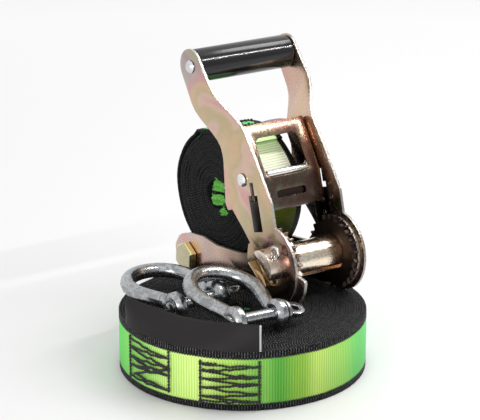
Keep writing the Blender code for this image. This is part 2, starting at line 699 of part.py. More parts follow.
LOCK_SPAN_Y = FRAME_INNER_Y - RUNNING
lock_outline = [
    (LOCK_TIP_X - LOCK_PAWL_LENGTH, -LOCK_SPAN_Y), (LOCK_TIP_X, -LOCK_SPAN_Y),
    (LOCK_TIP_X, -WHEEL_INNER_Y), (EAR_HIGH_X, -PAWL_LEG_INNER_Y),
    (EAR_HIGH_X, PAWL_LEG_INNER_Y), (LOCK_TIP_X, WHEEL_INNER_Y),
    (LOCK_TIP_X, LOCK_SPAN_Y), (LOCK_TIP_X - LOCK_PAWL_LENGTH, LOCK_SPAN_Y),
]
LOCK_LAID = Matrix.Translation((0, 0, LOCK_LOW_Z)) @ Matrix.Rotation(math.radians(90), 4, "X")
lock_plate = prism(lock_outline, 0.0, LOCK_PAWL_THICKNESS)
lock_pawl = place("lock_pawl", lock_plate, DARK_STEEL, drum_axis, LOCK_LAID)
ears = guide(
    "lock_pawl_ears",
    box(
        (EAR_LOW_X, -FRAME_OUTER_Y - LOCK_EAR_SHOW, LOCK_LOW_Z),
        (EAR_HIGH_X, FRAME_OUTER_Y + LOCK_EAR_SHOW, LOCK_LOW_Z + LOCK_PAWL_THICKNESS),
    ),
    drum_axis,
)
join(lock_pawl, ears)

LOCK_TAIL_X = LOCK_TIP_X - LOCK_PAWL_LENGTH
GUIDE_FRONT_X = LOCK_TAIL_X - LOCK_PAWL_TRAVEL - LOCK_GUIDE_GAP
place(
    "lock_guide",
    box(
        (GUIDE_FRONT_X - LOCK_GUIDE_THICKNESS, -SLEEVE_HALF, LOCK_MID_Z - LOCK_GUIDE_HEIGHT / 2),
        (GUIDE_FRONT_X, SLEEVE_HALF, LOCK_MID_Z + LOCK_GUIDE_HEIGHT / 2),
    ),
    STEEL, drum_axis,
)


def coil(radius, length, turns):
    """The middle line of a coil spring along Z, from zero up to its length."""
    count = turns * SPRING_POINTS
    return [
        (radius * math.cos(math.tau * k / SPRING_POINTS), radius * math.sin(math.tau * k / SPRING_POINTS),
         length * k / count)
        for k in range(count + 1)
    ]


def print_coil_gap(name, length, turns):
    """The clear space between one curl and the next."""
    print(f"{name}: least gap to itself {(length / turns - 2 * SPRING_WIRE) * 1000:.2f} mm")


LOCK_SPRING_LENGTH = LOCK_GUIDE_GAP - 2 * SPRING_WIRE - 2 * SEAT
place(
    "lock_spring",
    tube(coil(LOCK_SPRING_RADIUS, LOCK_SPRING_LENGTH, SPRING_TURNS // 3), SPRING_WIRE, SPRING_POINTS),
    BRIGHT_STEEL, drum_axis,
    Matrix.Translation((GUIDE_FRONT_X + SPRING_WIRE + SEAT, 0, LOCK_MID_Z))
    @ Matrix.Rotation(math.radians(90), 4, "Y"),
)
print_coil_gap("lock_spring", LOCK_SPRING_LENGTH, SPRING_TURNS // 3)


# Handle: side plates, web, rivets, grip rod and grip

def handle_outline():
    """The side plate in (front, up) from the drum: cam lobe, rear edge, grip lobe, front edge."""
    rear = [(v * LOBE_RADIUS, u * GRIP_REACH, r * LOBE_RADIUS) for u, v, r in REAR_EDGE_SHARES]
    front = [(v * LOBE_RADIUS, u * GRIP_REACH, r * LOBE_RADIUS) for u, v, r in FRONT_EDGE_SHARES]
    crown = arc((0, GRIP_REACH), GRIP_LOBE_RADIUS, math.radians(180), 0.0, ROUND_STEPS // 3)
    last = front[-1]
    start = math.atan2(last[1], last[0]) - math.radians(8)
    lobe = arc((0, 0), LOBE_RADIUS, start, math.radians(-230), ROUND_STEPS)
    corners = rear + [(x, z, 0.0) for x, z in crown] + front + [(x, z, 0.0) for x, z in lobe]
    return filleted(corners)


def flare(up):
    """How far the plates stand out beyond the drum's plates, at a height along the handle."""
    share = min(max((up - FLARE_START) / (FLARE_END - FLARE_START), 0.0), 1.0)
    return (GRIP_PLATE_Y - PLATE_OUTER_Y) * share * share * (3 - 2 * share)


def flared_plate(side):
    """A side plate pressed outwards above the drum, so that the grip between the plates is wide."""
    low, high = between(side, PLATE_INNER_Y, PLATE_OUTER_Y)
    made = prism(handle_outline(), low, high)
    for k in range(FLARE_STEPS + 1):
        height = FLARE_START + (FLARE_END - FLARE_START) * k / FLARE_STEPS
        geometry = made.verts[:] + made.edges[:] + made.faces[:]
        bmesh.ops.bisect_plane(made, geom=geometry, plane_co=(0, 0, height), plane_no=(0, 0, 1))
    for vert in made.verts:
        vert.co.y += side * flare(vert.co.z)
    return made


SLIDE_FRAME = (
    Matrix.Translation((PAWL_LINE_FRONT, 0, PAWL_LINE_UP)) @ Matrix.Rotation(PAWL_LINE_LEAN, 4, "Y")
)
SLOT_BOTTOM = LUG_BOTTOM - RUNNING
SLOT_TOP = LUG_TOP + PAWL_TRAVEL + RUNNING
SLOT_HALF = LUG_THICKNESS / 2 + RUNNING


def keyhole_cutter(name, half, low, high):
    """The slot that the drive pawl slides in, with the narrow keyhole above it."""
    wide = guide(name, box((-half, low, SLOT_BOTTOM), (half, high, SLOT_TOP)), handle_axis, SLIDE_FRAME)
    narrow = guide(
        f"{name}_keyhole",
        box(
            (-KEYHOLE_WIDTH / 2, low, SLOT_TOP - OVERRUN),
            (KEYHOLE_WIDTH / 2, high, SLOT_TOP + KEYHOLE_LENGTH),
        ),
        handle_axis, SLIDE_FRAME,
    )
    return wide, narrow


HEAD_OVER = PLATE_OUTER_Y + SEAT
FLANGE_OUTER_Y = PLATE_INNER_Y - SEAT
FLANGE_INNER_Y = FLANGE_OUTER_Y - WEB_THICKNESS
for side_name, side in SIDES:
    plate = place(f"handle_plate_{side_name}", flared_plate(side), STEEL, handle_axis)
    low, high = between(side, FRAME_OUTER_Y, GRIP_PLATE_Y)
    shaft_hole = guide(
        f"handle_{side_name}_shaft_hole", rod(SHAFT_RADIUS + RUNNING, low, high), handle_axis, ALONG_Y
    )
    grip_hole = guide(
        f"handle_{side_name}_grip_hole",
        rod(GRIP_ROD_RADIUS + RUNNING, *between(side, PLATE_OUTER_Y, GRIP_PLATE_Y + OVERRUN)),
        handle_axis, Matrix.Translation((0, 0, GRIP_REACH)) @ ALONG_Y,
    )
    rivet_hole = guide(
        f"handle_{side_name}_rivet_hole",
        rod(RIVET_RADIUS + RUNNING, *between(side, FLANGE_INNER_Y - OVERRUN, GRIP_PLATE_Y)),
        handle_axis, Matrix.Translation((MID_RIVET_FRONT, 0, MID_RIVET_UP)) @ ALONG_Y,
    )
    slot, keyhole = keyhole_cutter(
        f"handle_{side_name}_slot", SLOT_HALF, *between(side, FLANGE_OUTER_Y, PLATE_OUTER_Y + OVERRUN)
    )
    cut(plate, shaft_hole, grip_hole, rivet_hole, slot, keyhole)
    head_low = -HEAD_OVER - RIVET_HEAD_HEIGHT
    place(
        f"web_rivet_{side_name}",
        turned([
            (0, head_low), (RIVET_HEAD_RADIUS * math.cos(math.radians(50)), head_low),
            (RIVET_HEAD_RADIUS * math.cos(math.radians(20)), head_low + RIVET_HEAD_HEIGHT / 2),
            (RIVET_HEAD_RADIUS, -HEAD_OVER), (RIVET_RADIUS, -HEAD_OVER),
            (RIVET_RADIUS, -FLANGE_INNER_Y + SEAT), (RIVET_HEAD_RADIUS, -FLANGE_INNER_Y + SEAT),
            (RIVET_RADIUS, -FLANGE_INNER_Y + RIVET_HEAD_HEIGHT), (0, -FLANGE_INNER_Y + RIVET_HEAD_HEIGHT),
        ], ROUND_STEPS // 2),
        BRIGHT_STEEL, handle_axis,
        Matrix.Translation((MID_RIVET_FRONT, 0, MID_RIVET_UP))
        @ (ALONG_Y if side < 0 else Matrix.Rotation(math.radians(90), 4, "X")),
    )


def web_section():
    """The web seen from above: a flat front, two bends and two flanges that run back along the plates."""
    outer, inner = FLANGE_OUTER_Y, FLANGE_INNER_Y
    bend, tight = WEB_BEND_RADIUS, WEB_BEND_RADIUS - WEB_THICKNESS
    centre_y, centre_x = outer - bend, WEB_FRONT - bend
    right_outer = arc((centre_x, centre_y), bend, 0.0, math.radians(90), FILLET_STEPS + 1)
    right_inner = arc((centre_x, centre_y), tight, math.radians(90), 0.0, FILLET_STEPS + 1)
    left_outer = [(x, -y) for x, y in reversed(right_outer)]
    left_inner = [(x, -y) for x, y in reversed(right_inner)]
    return (
        right_outer + [(WEB_FLANGE_BACK, outer), (WEB_FLANGE_BACK, inner)] + right_inner
        + left_inner + [(WEB_FLANGE_BACK, -inner), (WEB_FLANGE_BACK, -outer)] + left_outer
    )


def slanted_web():
    """The web raised along the handle, its front leaning back below the window."""
    made = prism(web_section(), -WEB_TOP, -WEB_BOTTOM)
    bmesh.ops.transform(made, matrix=ALONG_Y, verts=made.verts)
    geometry = made.verts[:] + made.edges[:] + made.faces[:]
    bmesh.ops.bisect_plane(made, geom=geometry, plane_co=(0, 0, WEB_SLANT_TOP), plane_no=(0, 0, 1))
    for vert in made.verts:
        if vert.co.x > WEB_FLANGE_BACK / 2 and vert.co.z < WEB_SLANT_TOP:
            vert.co.x -= (WEB_SLANT_TOP - vert.co.z) * math.tan(WEB_SLANT)
    return made


web = place("handle_web", slanted_web(), STEEL, handle_axis)
WEB_FOOT_FRONT = WEB_FRONT - (WEB_SLANT_TOP - WEB_BOTTOM) * math.tan(WEB_SLANT)
window = guide(
    "web_window",
    prism(
        filleted([
            (side * WINDOW_HALF_WIDTH, height, WINDOW_CORNER)
            for side, height in ((-1, WINDOW_BOTTOM), (1, WINDOW_BOTTOM), (1, WINDOW_TOP), (-1, WINDOW_TOP))
        ]),
        -WEB_FRONT - OVERRUN, WEB_THICKNESS - WEB_FRONT + OVERRUN,
    ),
    handle_axis, Matrix.Rotation(math.radians(90), 4, "Z"),
)
WEB_SLOT_FRONT = WEB_FRONT - (WEB_SLANT_TOP - WEB_SLOT_UP) * math.tan(WEB_SLANT)
web_slot = guide(
    "web_slot",
    prism(
        filleted([
            (across * WEB_SLOT_HALF_WIDTH, WEB_SLOT_UP + rise * WEB_SLOT_HEIGHT / 2, WEB_SLOT_HEIGHT / 2)
            for across, rise in ((-1, -1), (1, -1), (1, 1), (-1, 1))
        ]),
        -WEB_SLOT_FRONT - OVERRUN, WEB_THICKNESS - WEB_SLOT_FRONT + OVERRUN,
    ),
    handle_axis, Matrix.Rotation(math.radians(90), 4, "Z"),
)
flange_trim = guide(
    "web_flange_trim",
    box(
        (WEB_FLANGE_BACK - OVERRUN, -PLATE_OUTER_Y, 0),
        (WEB_FOOT_FRONT - WEB_BEND_RADIUS, PLATE_OUTER_Y, WEB_FLANGE_BOTTOM),
    ),
    handle_axis,
)
cut(web, window, web_slot, flange_trim)
for side_name, side in SIDES:
    slot, keyhole = keyhole_cutter(
        f"web_{side_name}_slot", PAWL_THICKNESS / 2 + RUNNING,
        *between(side, FLANGE_INNER_Y - OVERRUN, PLATE_INNER_Y),
    )
    hole = guide(
        f"web_{side_name}_rivet_hole",
        rod(RIVET_RADIUS + RUNNING, *between(side, FLANGE_INNER_Y - OVERRUN, PLATE_INNER_Y)),
        handle_axis, Matrix.Translation((MID_RIVET_FRONT, 0, MID_RIVET_UP)) @ ALONG_Y,
    )
    cut(web, slot, keyhole, hole)

GRIP_FRAME = Matrix.Translation((0, 0, GRIP_REACH)) @ ALONG_Y
GRIP_HEAD_Y = GRIP_PLATE_Y + SEAT
grip_head_edge = RIVET_HEAD_RADIUS * math.cos(math.radians(50))
place("grip_rod", turned([
    (0, -GRIP_HEAD_Y - RIVET_HEAD_HEIGHT), (grip_head_edge, -GRIP_HEAD_Y - RIVET_HEAD_HEIGHT),
    (RIVET_HEAD_RADIUS, -GRIP_HEAD_Y), (GRIP_ROD_RADIUS, -GRIP_HEAD_Y), (GRIP_ROD_RADIUS, GRIP_HEAD_Y),
    (RIVET_HEAD_RADIUS, GRIP_HEAD_Y), (grip_head_edge, GRIP_HEAD_Y + RIVET_HEAD_HEIGHT),
    (0, GRIP_HEAD_Y + RIVET_HEAD_HEIGHT),
], ROUND_STEPS // 2), BRIGHT_STEEL, handle_axis, GRIP_FRAME)
GRIP_HALF = GRIP_PLATE_Y - PLATE_THICKNESS - RUNNING
GRIP_BORE = GRIP_TUBE_RADIUS - GRIP_TUBE_WALL
place("grip_tube", turned([
    (GRIP_BORE, -GRIP_HALF), (GRIP_TUBE_RADIUS - GRIP_END_ROUND, -GRIP_HALF),
    (GRIP_TUBE_RADIUS, -GRIP_HALF + GRIP_END_ROUND), (GRIP_TUBE_RADIUS, GRIP_HALF - GRIP_END_ROUND),
    (GRIP_TUBE_RADIUS - GRIP_END_ROUND, GRIP_HALF), (GRIP_BORE, GRIP_HALF),
]), GRIP_PLASTIC, handle_axis, GRIP_FRAME)


# Drive pawl: a plate with a rolled finger edge, two legs to the wheels and a lug in each keyhole slot

def drive_pawl():
    """The pawl's plate in (across, up) along its slide, extruded by its thickness."""
    wide, narrow = FRAME_INNER_Y - RUNNING, PAWL_UPPER_HALF_WIDTH
    outline = [
        (-wide, -TOOTH_BITE), (-PAWL_LEG_INNER_Y, -TOOTH_BITE), (-PAWL_LEG_INNER_Y, PAWL_SHOULDER),
        (PAWL_LEG_INNER_Y, PAWL_SHOULDER), (PAWL_LEG_INNER_Y, -TOOTH_BITE), (wide, -TOOTH_BITE),
        (wide, LUG_TOP), (narrow, LUG_TOP + PAWL_TRAVEL), (narrow, PAWL_TOP),
        (-narrow, PAWL_TOP), (-narrow, LUG_TOP + PAWL_TRAVEL), (-wide, LUG_TOP),
    ]
    return prism(outline, -PAWL_THICKNESS / 2, PAWL_THICKNESS / 2)


FACE_FRONT = SLIDE_FRAME @ Matrix.Rotation(math.radians(90), 4, "Z")
pawl = place("drive_pawl", drive_pawl(), DARK_STEEL, handle_axis, FACE_FRONT)
finger_roll = guide(
    "drive_pawl_roll",
    rod(PAWL_ROLL_RADIUS, -PAWL_UPPER_HALF_WIDTH, PAWL_UPPER_HALF_WIDTH, ROUND_STEPS // 2), handle_axis,
    SLIDE_FRAME @ Matrix.Translation((0, 0, PAWL_TOP)) @ ALONG_Y,
)
join(pawl, finger_roll)
HOOK_SWEEP = math.hypot(HOOK_REACH, HOOK_REACH * HOOK_SHARES[1][1])
BRIDGE_BOTTOM = HOOK_SWEEP - PAWL_LINE_UP * math.cos(PAWL_LINE_LEAN) + RUNNING * 4
for side_name, side in SIDES:
    bridge = guide(
        f"drive_pawl_{side_name}_bridge",
        box(
            (-PAWL_THICKNESS / 2, between(side, PAWL_LEG_INNER_Y, PLATE_OUTER_Y)[0], BRIDGE_BOTTOM),
            (PAWL_THICKNESS / 2, between(side, PAWL_LEG_INNER_Y, PLATE_OUTER_Y)[1], LUG_TOP),
        ),
        handle_axis, SLIDE_FRAME,
    )
    lug_low, lug_high = between(side, PLATE_INNER_Y + RUNNING, PLATE_OUTER_Y + LUG_SHOW)
    lug = guide(
        f"drive_pawl_{side_name}_lug",
        box((-LUG_THICKNESS / 2, lug_low, LUG_BOTTOM), (LUG_THICKNESS / 2, lug_high, LUG_TOP)),
        handle_axis, SLIDE_FRAME,
    )
    join(pawl, bridge, lug)
    place(
        f"drive_spring_{side_name}",
        tube(coil(DRIVE_SPRING_RADIUS, DRIVE_SPRING_LENGTH, SPRING_TURNS), SPRING_WIRE, SPRING_POINTS),
        BRIGHT_STEEL, handle_axis,
        SLIDE_FRAME @ Matrix.Translation((
            -PAWL_THICKNESS / 2 - DRIVE_SPRING_RADIUS - SPRING_WIRE - SEAT, side * DRIVE_SPRING_Y,
            PAWL_SHOULDER,
        )),
    )
print_coil_gap("drive_spring", DRIVE_SPRING_LENGTH, SPRING_TURNS)


# The short strap: its loop on the clamp sleeve and the roll that stands in the frame

LOOP_INNER = SLEEVE_RADIUS + SEAT
LOOP_OUTER = LOOP_INNER + WEBBING_THICKNESS
roll_flat = STRAP_ROLL_RADIUS * math.cos(math.pi / LOOP_POINTS)
roll_rise = math.sqrt((LOOP_OUTER + roll_flat + SEAT) ** 2 - (BOLT_BACK - STRAP_ROLL_BACK) ** 2)
ROLL_CENTRE = Vector((DRUM_X - STRAP_ROLL_BACK, DRUM_Y + STRAP_ROLL_SIDE, BOLT_HEIGHT + roll_rise))
wound_band(
    "strap_roll", STRAP_CORE_RADIUS, STRAP_ROLL_RADIUS, STRAP_TURNS, WEBBING,
    Matrix.Translation(ROLL_CENTRE) @ Matrix.Rotation(STRAP_ROLL_YAW, 4, "Z") @ ALONG_Y
    @ Matrix.Translation((0, 0, -WEBBING_WIDTH / 2)),
)


def strap_loop_outline():
    """A ring round the sleeve whose tongue runs forward under the roll."""
    tongue_end = BOLT_BACK - STRAP_ROLL_BACK
    tongue_top = ROLL_CENTRE.z - STRAP_ROLL_RADIUS - SEAT - BOLT_HEIGHT
    start = math.asin(tongue_top / LOOP_OUTER)
    low = math.asin((tongue_top - WEBBING_THICKNESS) / LOOP_OUTER)
    ring = arc((0, 0), LOOP_OUTER, start, low + math.tau, ROUND_STEPS)
    return ring + [(tongue_end, tongue_top - WEBBING_THICKNESS), (tongue_end, tongue_top)]


LOOP_PLACE = Matrix.Translation((-BOLT_BACK, STRAP_ROLL_SIDE, BOLT_DZ))
loop = place(
    "strap_loop", prism(strap_loop_outline(), -WEBBING_WIDTH / 2, WEBBING_WIDTH / 2), WEBBING, drum_axis,
    LOOP_PLACE,
)
loop_bore = guide(
    "strap_loop_bore", rod(LOOP_INNER, -WEBBING_WIDTH, WEBBING_WIDTH), drum_axis, LOOP_PLACE @ ALONG_Y
)
cut(loop, loop_bore)


# Two shackles: bow with its ears, and the screw pin with its eyed tab

def bow_points():
    """The middle line of the bow in its own plane, from the near ear round to the far ear."""
    centre = BOW_LENGTH - BOW_HALF_WIDTH
    neck, rise = EAR_SPREAD / 2, centre - EAR_RADIUS
    start = math.acos(BOW_HALF_WIDTH / math.hypot(neck, rise)) - math.atan2(rise, neck)
    bow = arc((0, centre), BOW_HALF_WIDTH, start, math.pi - start, BOW_STEPS)
    straight = Vector((neck, EAR_RADIUS))
    leg = [straight.lerp(Vector(bow[0]), k / LEG_STEPS) for k in range(LEG_STEPS)]
    near = [(neck, 0.0)] + [(p.x, p.y) for p in leg]
    far = [(-x, y) for x, y in reversed(near)]
    return [(x, y, 0.0) for x, y in near + bow + far]


ACROSS = Matrix.Rotation(math.radians(90), 4, "Y")
TAB_START = EAR_SPREAD / 2 + EAR_THICKNESS / 2 + RUNNING
for letter, where, rise, turn, tab_turn in (
    ("a", SHACKLE_A_PLACE, SHACKLE_A_RISE, SHACKLE_A_TURN, SHACKLE_A_TAB_TURN),
    ("b", SHACKLE_B_PLACE, SHACKLE_B_RISE, SHACKLE_B_TURN, SHACKLE_B_TAB_TURN),
):
    lies = axis_empty(f"shackle_{letter}", (*where, WEBBING_WIDTH + rise), None, turn)
    bow = place(f"shackle_bow_{letter}", tube(bow_points(), BAR_RADIUS, BAR_SIDES), GALVANISED, lies)
    for ear_name, side in SIDES:
        middle = side * EAR_SPREAD / 2
        ear = guide(
            f"shackle_{letter}_{ear_name}_ear",
            turned([
                (0, -EAR_THICKNESS / 2), (EAR_RADIUS * EAR_FACE_SHARE, -EAR_THICKNESS / 2),
                (EAR_RADIUS, -EAR_THICKNESS / 5), (EAR_RADIUS, EAR_THICKNESS / 5),
                (EAR_RADIUS * EAR_FACE_SHARE, EAR_THICKNESS / 2), (0, EAR_THICKNESS / 2),
            ], ROUND_STEPS // 2),
            lies, Matrix.Translation((middle, 0, 0)) @ ACROSS,
        )
        join(bow, ear)
    pin_hole = guide(
        f"shackle_{letter}_pin_hole",
        rod(SHACKLE_PIN_RADIUS + RUNNING, -EAR_SPREAD, EAR_SPREAD, ROUND_STEPS // 2), lies, ACROSS,
    )
    cut(bow, pin_hole)
    pin = place(
        f"shackle_pin_{letter}",
        turned([
            (0, -TAB_START - PIN_END_SHOW), (SHACKLE_PIN_RADIUS, -TAB_START - PIN_END_SHOW),
            (SHACKLE_PIN_RADIUS, TAB_START), (PIN_COLLAR_RADIUS, TAB_START),
            (PIN_COLLAR_RADIUS, TAB_START + PIN_COLLAR_LENGTH / 2),
            (PIN_COLLAR_RADIUS * PIN_COLLAR_FACE_SHARE, TAB_START + PIN_COLLAR_LENGTH),
            (0, TAB_START + PIN_COLLAR_LENGTH),
        ], ROUND_STEPS // 2),
        GALVANISED, lies, ACROSS,
    )
    tab_frame = Matrix.Rotation(tab_turn, 4, "X")
    tab_low, tab_end = TAB_START + PIN_COLLAR_LENGTH / 2, TAB_START + PIN_COLLAR_LENGTH + PIN_TAB_LENGTH
    half = PIN_TAB_WIDTH / 2
    root = PIN_COLLAR_RADIUS * PIN_TAB_ROOT_SHARE
    tab_outline = arc((tab_end - half, 0), half, math.radians(-110), math.radians(110), ROUND_STEPS // 3)
    tab_outline += [(tab_low, root), (tab_low, -root)]
    tab = guide(
        f"shackle_{letter}_tab", prism(tab_outline, -PIN_TAB_THICKNESS / 2, PIN_TAB_THICKNESS / 2), lies,
        tab_frame @ Matrix.Rotation(math.radians(90), 4, "X"),
    )
    tab_hole = guide(
        f"shackle_{letter}_tab_hole",
        rod(PIN_TAB_HOLE_RADIUS, -PIN_TAB_THICKNESS, PIN_TAB_THICKNESS, ROUND_STEPS // 2), lies,
        tab_frame @ Matrix.Translation((tab_end - half, 0, 0)),
    )
    join(pin, tab)
    cut(pin, tab_hole)
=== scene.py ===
"""The looks of a slackline kit at rest: a wound line, a wide-handle ratchet with its strap, two shackles."""
import math

import bmesh
import bpy
import numpy as np
from mathutils import Matrix, Vector, noise


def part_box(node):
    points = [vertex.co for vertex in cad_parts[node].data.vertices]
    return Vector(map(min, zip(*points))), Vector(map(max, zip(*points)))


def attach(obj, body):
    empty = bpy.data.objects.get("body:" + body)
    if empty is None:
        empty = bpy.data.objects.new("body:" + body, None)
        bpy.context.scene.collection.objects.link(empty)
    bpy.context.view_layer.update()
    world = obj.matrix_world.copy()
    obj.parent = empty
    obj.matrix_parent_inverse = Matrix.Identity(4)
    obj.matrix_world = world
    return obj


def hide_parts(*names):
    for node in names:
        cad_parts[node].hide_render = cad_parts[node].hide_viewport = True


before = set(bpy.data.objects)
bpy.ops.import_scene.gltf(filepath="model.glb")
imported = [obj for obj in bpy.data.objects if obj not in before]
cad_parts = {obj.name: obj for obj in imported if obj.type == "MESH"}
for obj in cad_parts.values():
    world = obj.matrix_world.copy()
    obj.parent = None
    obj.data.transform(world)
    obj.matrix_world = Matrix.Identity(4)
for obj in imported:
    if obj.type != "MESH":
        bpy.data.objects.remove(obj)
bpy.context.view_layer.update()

# A large soft lamp hangs above and behind, a fill stands in front, and a thin lamp draws a streak along the
# grip.


def node(tree, kind, inputs=None, **settings):
    """Add a node, set it up and wire or fill its inputs."""
    made = tree.nodes.new(kind)
    for key, value in settings.items():
        setattr(made, key, value)
    for key, value in (inputs or {}).items():
        if isinstance(value, bpy.types.NodeSocket):
            tree.links.new(value, made.inputs[key])
        else:
            made.inputs[key].default_value = value
    return made


def new_material(name):
    """A material with an empty tree; returns it, the tree and its output node."""
    made = bpy.data.materials.new(name)
    made.use_nodes = True
    tree = made.node_tree
    tree.nodes.clear()
    return made, tree, tree.nodes.new("ShaderNodeOutputMaterial")


def close_material(tree, output, **inputs):
    """Put a Principled shader with these inputs in front of the output."""
    named = {key.replace("_", " "): value for key, value in inputs.items()}
    shader = node(tree, "ShaderNodeBsdfPrincipled", named)
    tree.links.new(shader.outputs["BSDF"], output.inputs["Surface"])
    return shader


def in_scene(name, data):
    """A new object with this data, linked to the scene."""
    made = bpy.data.objects.new(name, data)
    bpy.context.scene.collection.objects.link(made)
    return made


# The table is painted darker near the kit and paler further off: a painted soft shadow round the kit.
TABLE_SIZE = 12.0
TABLE_NEAR, TABLE_FAR = 0.15, 1.3
SHADOW_TONE_NEAR, SHADOW_TONE_FAR = 0.70, 0.93
half = TABLE_SIZE / 2
table_corners = [(-half, -half, 0), (half, -half, 0), (half, half, 0), (-half, half, 0)]
table_mesh = bpy.data.meshes.new("table")
table_mesh.from_pydata(table_corners, [], [(0, 1, 2, 3)])
table = in_scene("table", table_mesh)
table_finish, tree, output = new_material("pale_table")
table_place = node(tree, "ShaderNodeTexCoord")
table_reach = node(tree, "ShaderNodeVectorMath", {0: table_place.outputs["Object"]}, operation="LENGTH")
table_painted_shadow = node(tree, "ShaderNodeMapRange", {
    "Value": table_reach.outputs["Value"], "From Min": TABLE_NEAR, "From Max": TABLE_FAR,
    "To Min": SHADOW_TONE_NEAR, "To Max": SHADOW_TONE_FAR,
})
close_material(tree, output, Base_Color=table_painted_shadow.outputs[0], Roughness=0.6)
table_mesh.materials.append(table_finish)

bpy.context.scene.view_settings.view_transform = "Standard"
world = bpy.data.worlds.new("studio")
bpy.context.scene.world = world
world.use_nodes = True
sky = world.node_tree
DARK_SIDE = Vector((0.66, 0.66, 0.36)).normalized()
DUSK_STARTS, DUSK_ENDS = 0.62, 0.90
DUSK_TONE = 0.42
toward = node(sky, "ShaderNodeTexCoord")
facing = node(
    sky, "ShaderNodeVectorMath", {0: toward.outputs["Generated"], 1: DARK_SIDE}, operation="DOT_PRODUCT",
)
dusk = node(sky, "ShaderNodeMapRange", {
    "Value": facing.outputs["Value"], "From Min": DUSK_STARTS, "From Max": DUSK_ENDS,
    "To Min": 1.0, "To Max": DUSK_TONE,
}, interpolation_type="SMOOTHSTEP")
sky.links.new(dusk.outputs[0], sky.nodes["Background"].inputs["Color"])
sky.nodes["Background"].inputs["Strength"].default_value = 1.0


def softbox(name, place, aim, size, power):
    """A rectangular white lamp that looks at its aim."""
    light = bpy.data.lights.new(name, "AREA")
    light.shape = "RECTANGLE"
    light.size, light.size_y = size
    light.energy = power
    lamp = in_scene(name, light)
    lamp.location = place
    lamp.rotation_euler = (Vector(aim) - Vector(place)).to_track_quat("-Z", "Y").to_euler()


softbox("key", place=(0.0, 0.85, 1.30), aim=(0, 0, 0.08), size=(0.50, 0.50), power=5)
softbox("streak", place=(0.204, 0.300, 0.522), aim=(-0.12, 0.300, 0.235), size=(0.60, 0.008), power=2.2)
softbox("fill", place=(0.75, -1.35, 0.45), aim=(0, 0, 0.03), size=(0.6, 0.4), power=7)

CAMERA_PLACE = Vector((1.28894, -0.90508, 0.65233))
CAMERA_FORWARD = Vector((-0.77786, 0.54499, -0.31294))
CAMERA_LENS = 152.3
lens = bpy.data.cameras.new("camera")
lens.lens = CAMERA_LENS
lens.sensor_width = 36
lens.clip_start = 0.05
camera = in_scene("camera", lens)
camera.location = CAMERA_PLACE
camera.rotation_euler = CAMERA_FORWARD.to_track_quat("-Z", "Y").to_euler()
bpy.context.scene.camera = camera

# The long line: about fifteen metres of 50 mm polyester webbing, wound flat on itself from a folded start.
# Its fluorescent green face has cross ribs, and its two black woven edges make the ringed top of the roll.

ALONG, ACROSS, UP = (1, 0, 0), (0, 1, 0), (0, 0, 1)
WEBBING_WIDTH = 0.050
WEBBING_THICKNESS = 0.0022
EDGE_ROUND, EDGE_FLAT = 0.28, 0.45
CLOTH_CREASE = math.radians(60)
RIPPLES_PER_METRE = 45
RIB_PITCH = 0.0023
YARN_PITCH = 0.0013
SELVEDGE = 0.0062
SELVEDGE_TEETH, SELVEDGE_BLUR = 0.0005, 0.0002
LINE_RADIUS = 0.104
LINE_CORE = 0.009
LINE_TURNS = 43
LINE_LOOP_POINTS = 64
LINE_START = math.radians(150)
LINE_RIPPLE, LINE_SEED = 0.0007, 3.1
TURN_WOBBLE = 0.0002
CORE_TONGUE = (0.75, 0.3, 0.0)
CORE_BEND, CORE_BEND_STEPS = 0.45, 8


def ribbon(name, path, across, width, thickness, ripple=0.0, seed=0.0):
    """A flat woven band along a path, whose edges waver by the ripple; returns it and its length.

    Its UV map "weave" holds metres along and metres across.
    """
    path = np.asarray(path, float)
    across = np.asarray(across, float)
    if across.ndim == 1:
        across = np.repeat(across[None], len(path), 0)
    ahead = np.gradient(path, axis=0)
    ahead /= np.linalg.norm(ahead, axis=1)[:, None]
    across = across - ahead * (across * ahead).sum(1)[:, None]
    across /= np.linalg.norm(across, axis=1)[:, None]
    out = np.cross(ahead, across)
    run = np.concatenate([[0], np.cumsum(np.linalg.norm(np.diff(path, axis=0), axis=1))])
    edge = thickness * EDGE_ROUND
    half_thick = thickness / 2
    half_flat = half_thick * EDGE_FLAT
    section = [
        (0, -half_flat), (edge, -half_thick), (width / 2, -half_thick), (width - edge, -half_thick),
        (width, -half_flat), (width, half_flat), (width - edge, half_thick),
        (width / 2, half_thick), (edge, half_thick), (0, half_flat),
    ]
    count = len(section)
    waver = np.array([noise.noise(Vector((metre * RIPPLES_PER_METRE, seed, 0))) * ripple for metre in run])
    verts = np.empty((len(path), count, 3))
    for k, (s, d) in enumerate(section):
        verts[:, k] = path + across * (s + waver)[:, None] + out * d
    faces, coords = [], []
    for i in range(len(path) - 1):
        base, nxt = i * count, (i + 1) * count
        for k in range(count):
            j = (k + 1) % count
            faces.append((base + k, base + j, nxt + j, nxt + k))
            one, two = section[k][0], section[j][0]
            coords += [(run[i], one), (run[i], two), (run[i + 1], two), (run[i + 1], one)]
    last = (len(path) - 1) * count
    faces.append(tuple(reversed(range(count))))
    faces.append(tuple(range(last, last + count)))
    coords += [(0.0, section[k][0]) for k in reversed(range(count))]
    coords += [(run[-1], section[k][0]) for k in range(count)]
    mesh = bpy.data.meshes.new(name)
    mesh.from_pydata(verts.reshape(-1, 3).tolist(), [], faces)
    weave = mesh.uv_layers.new(name="weave")
    weave.data.foreach_set("uv", np.array(coords, np.float32).ravel())
    made = bmesh.new()
    made.from_mesh(mesh)
    bmesh.ops.recalc_face_normals(made, faces=made.faces)
    made.to_mesh(mesh)
    made.free()
    mesh.shade_smooth()
    mesh.set_sharp_from_angle(angle=CLOTH_CREASE)
    return in_scene(name, mesh), float(run[-1])


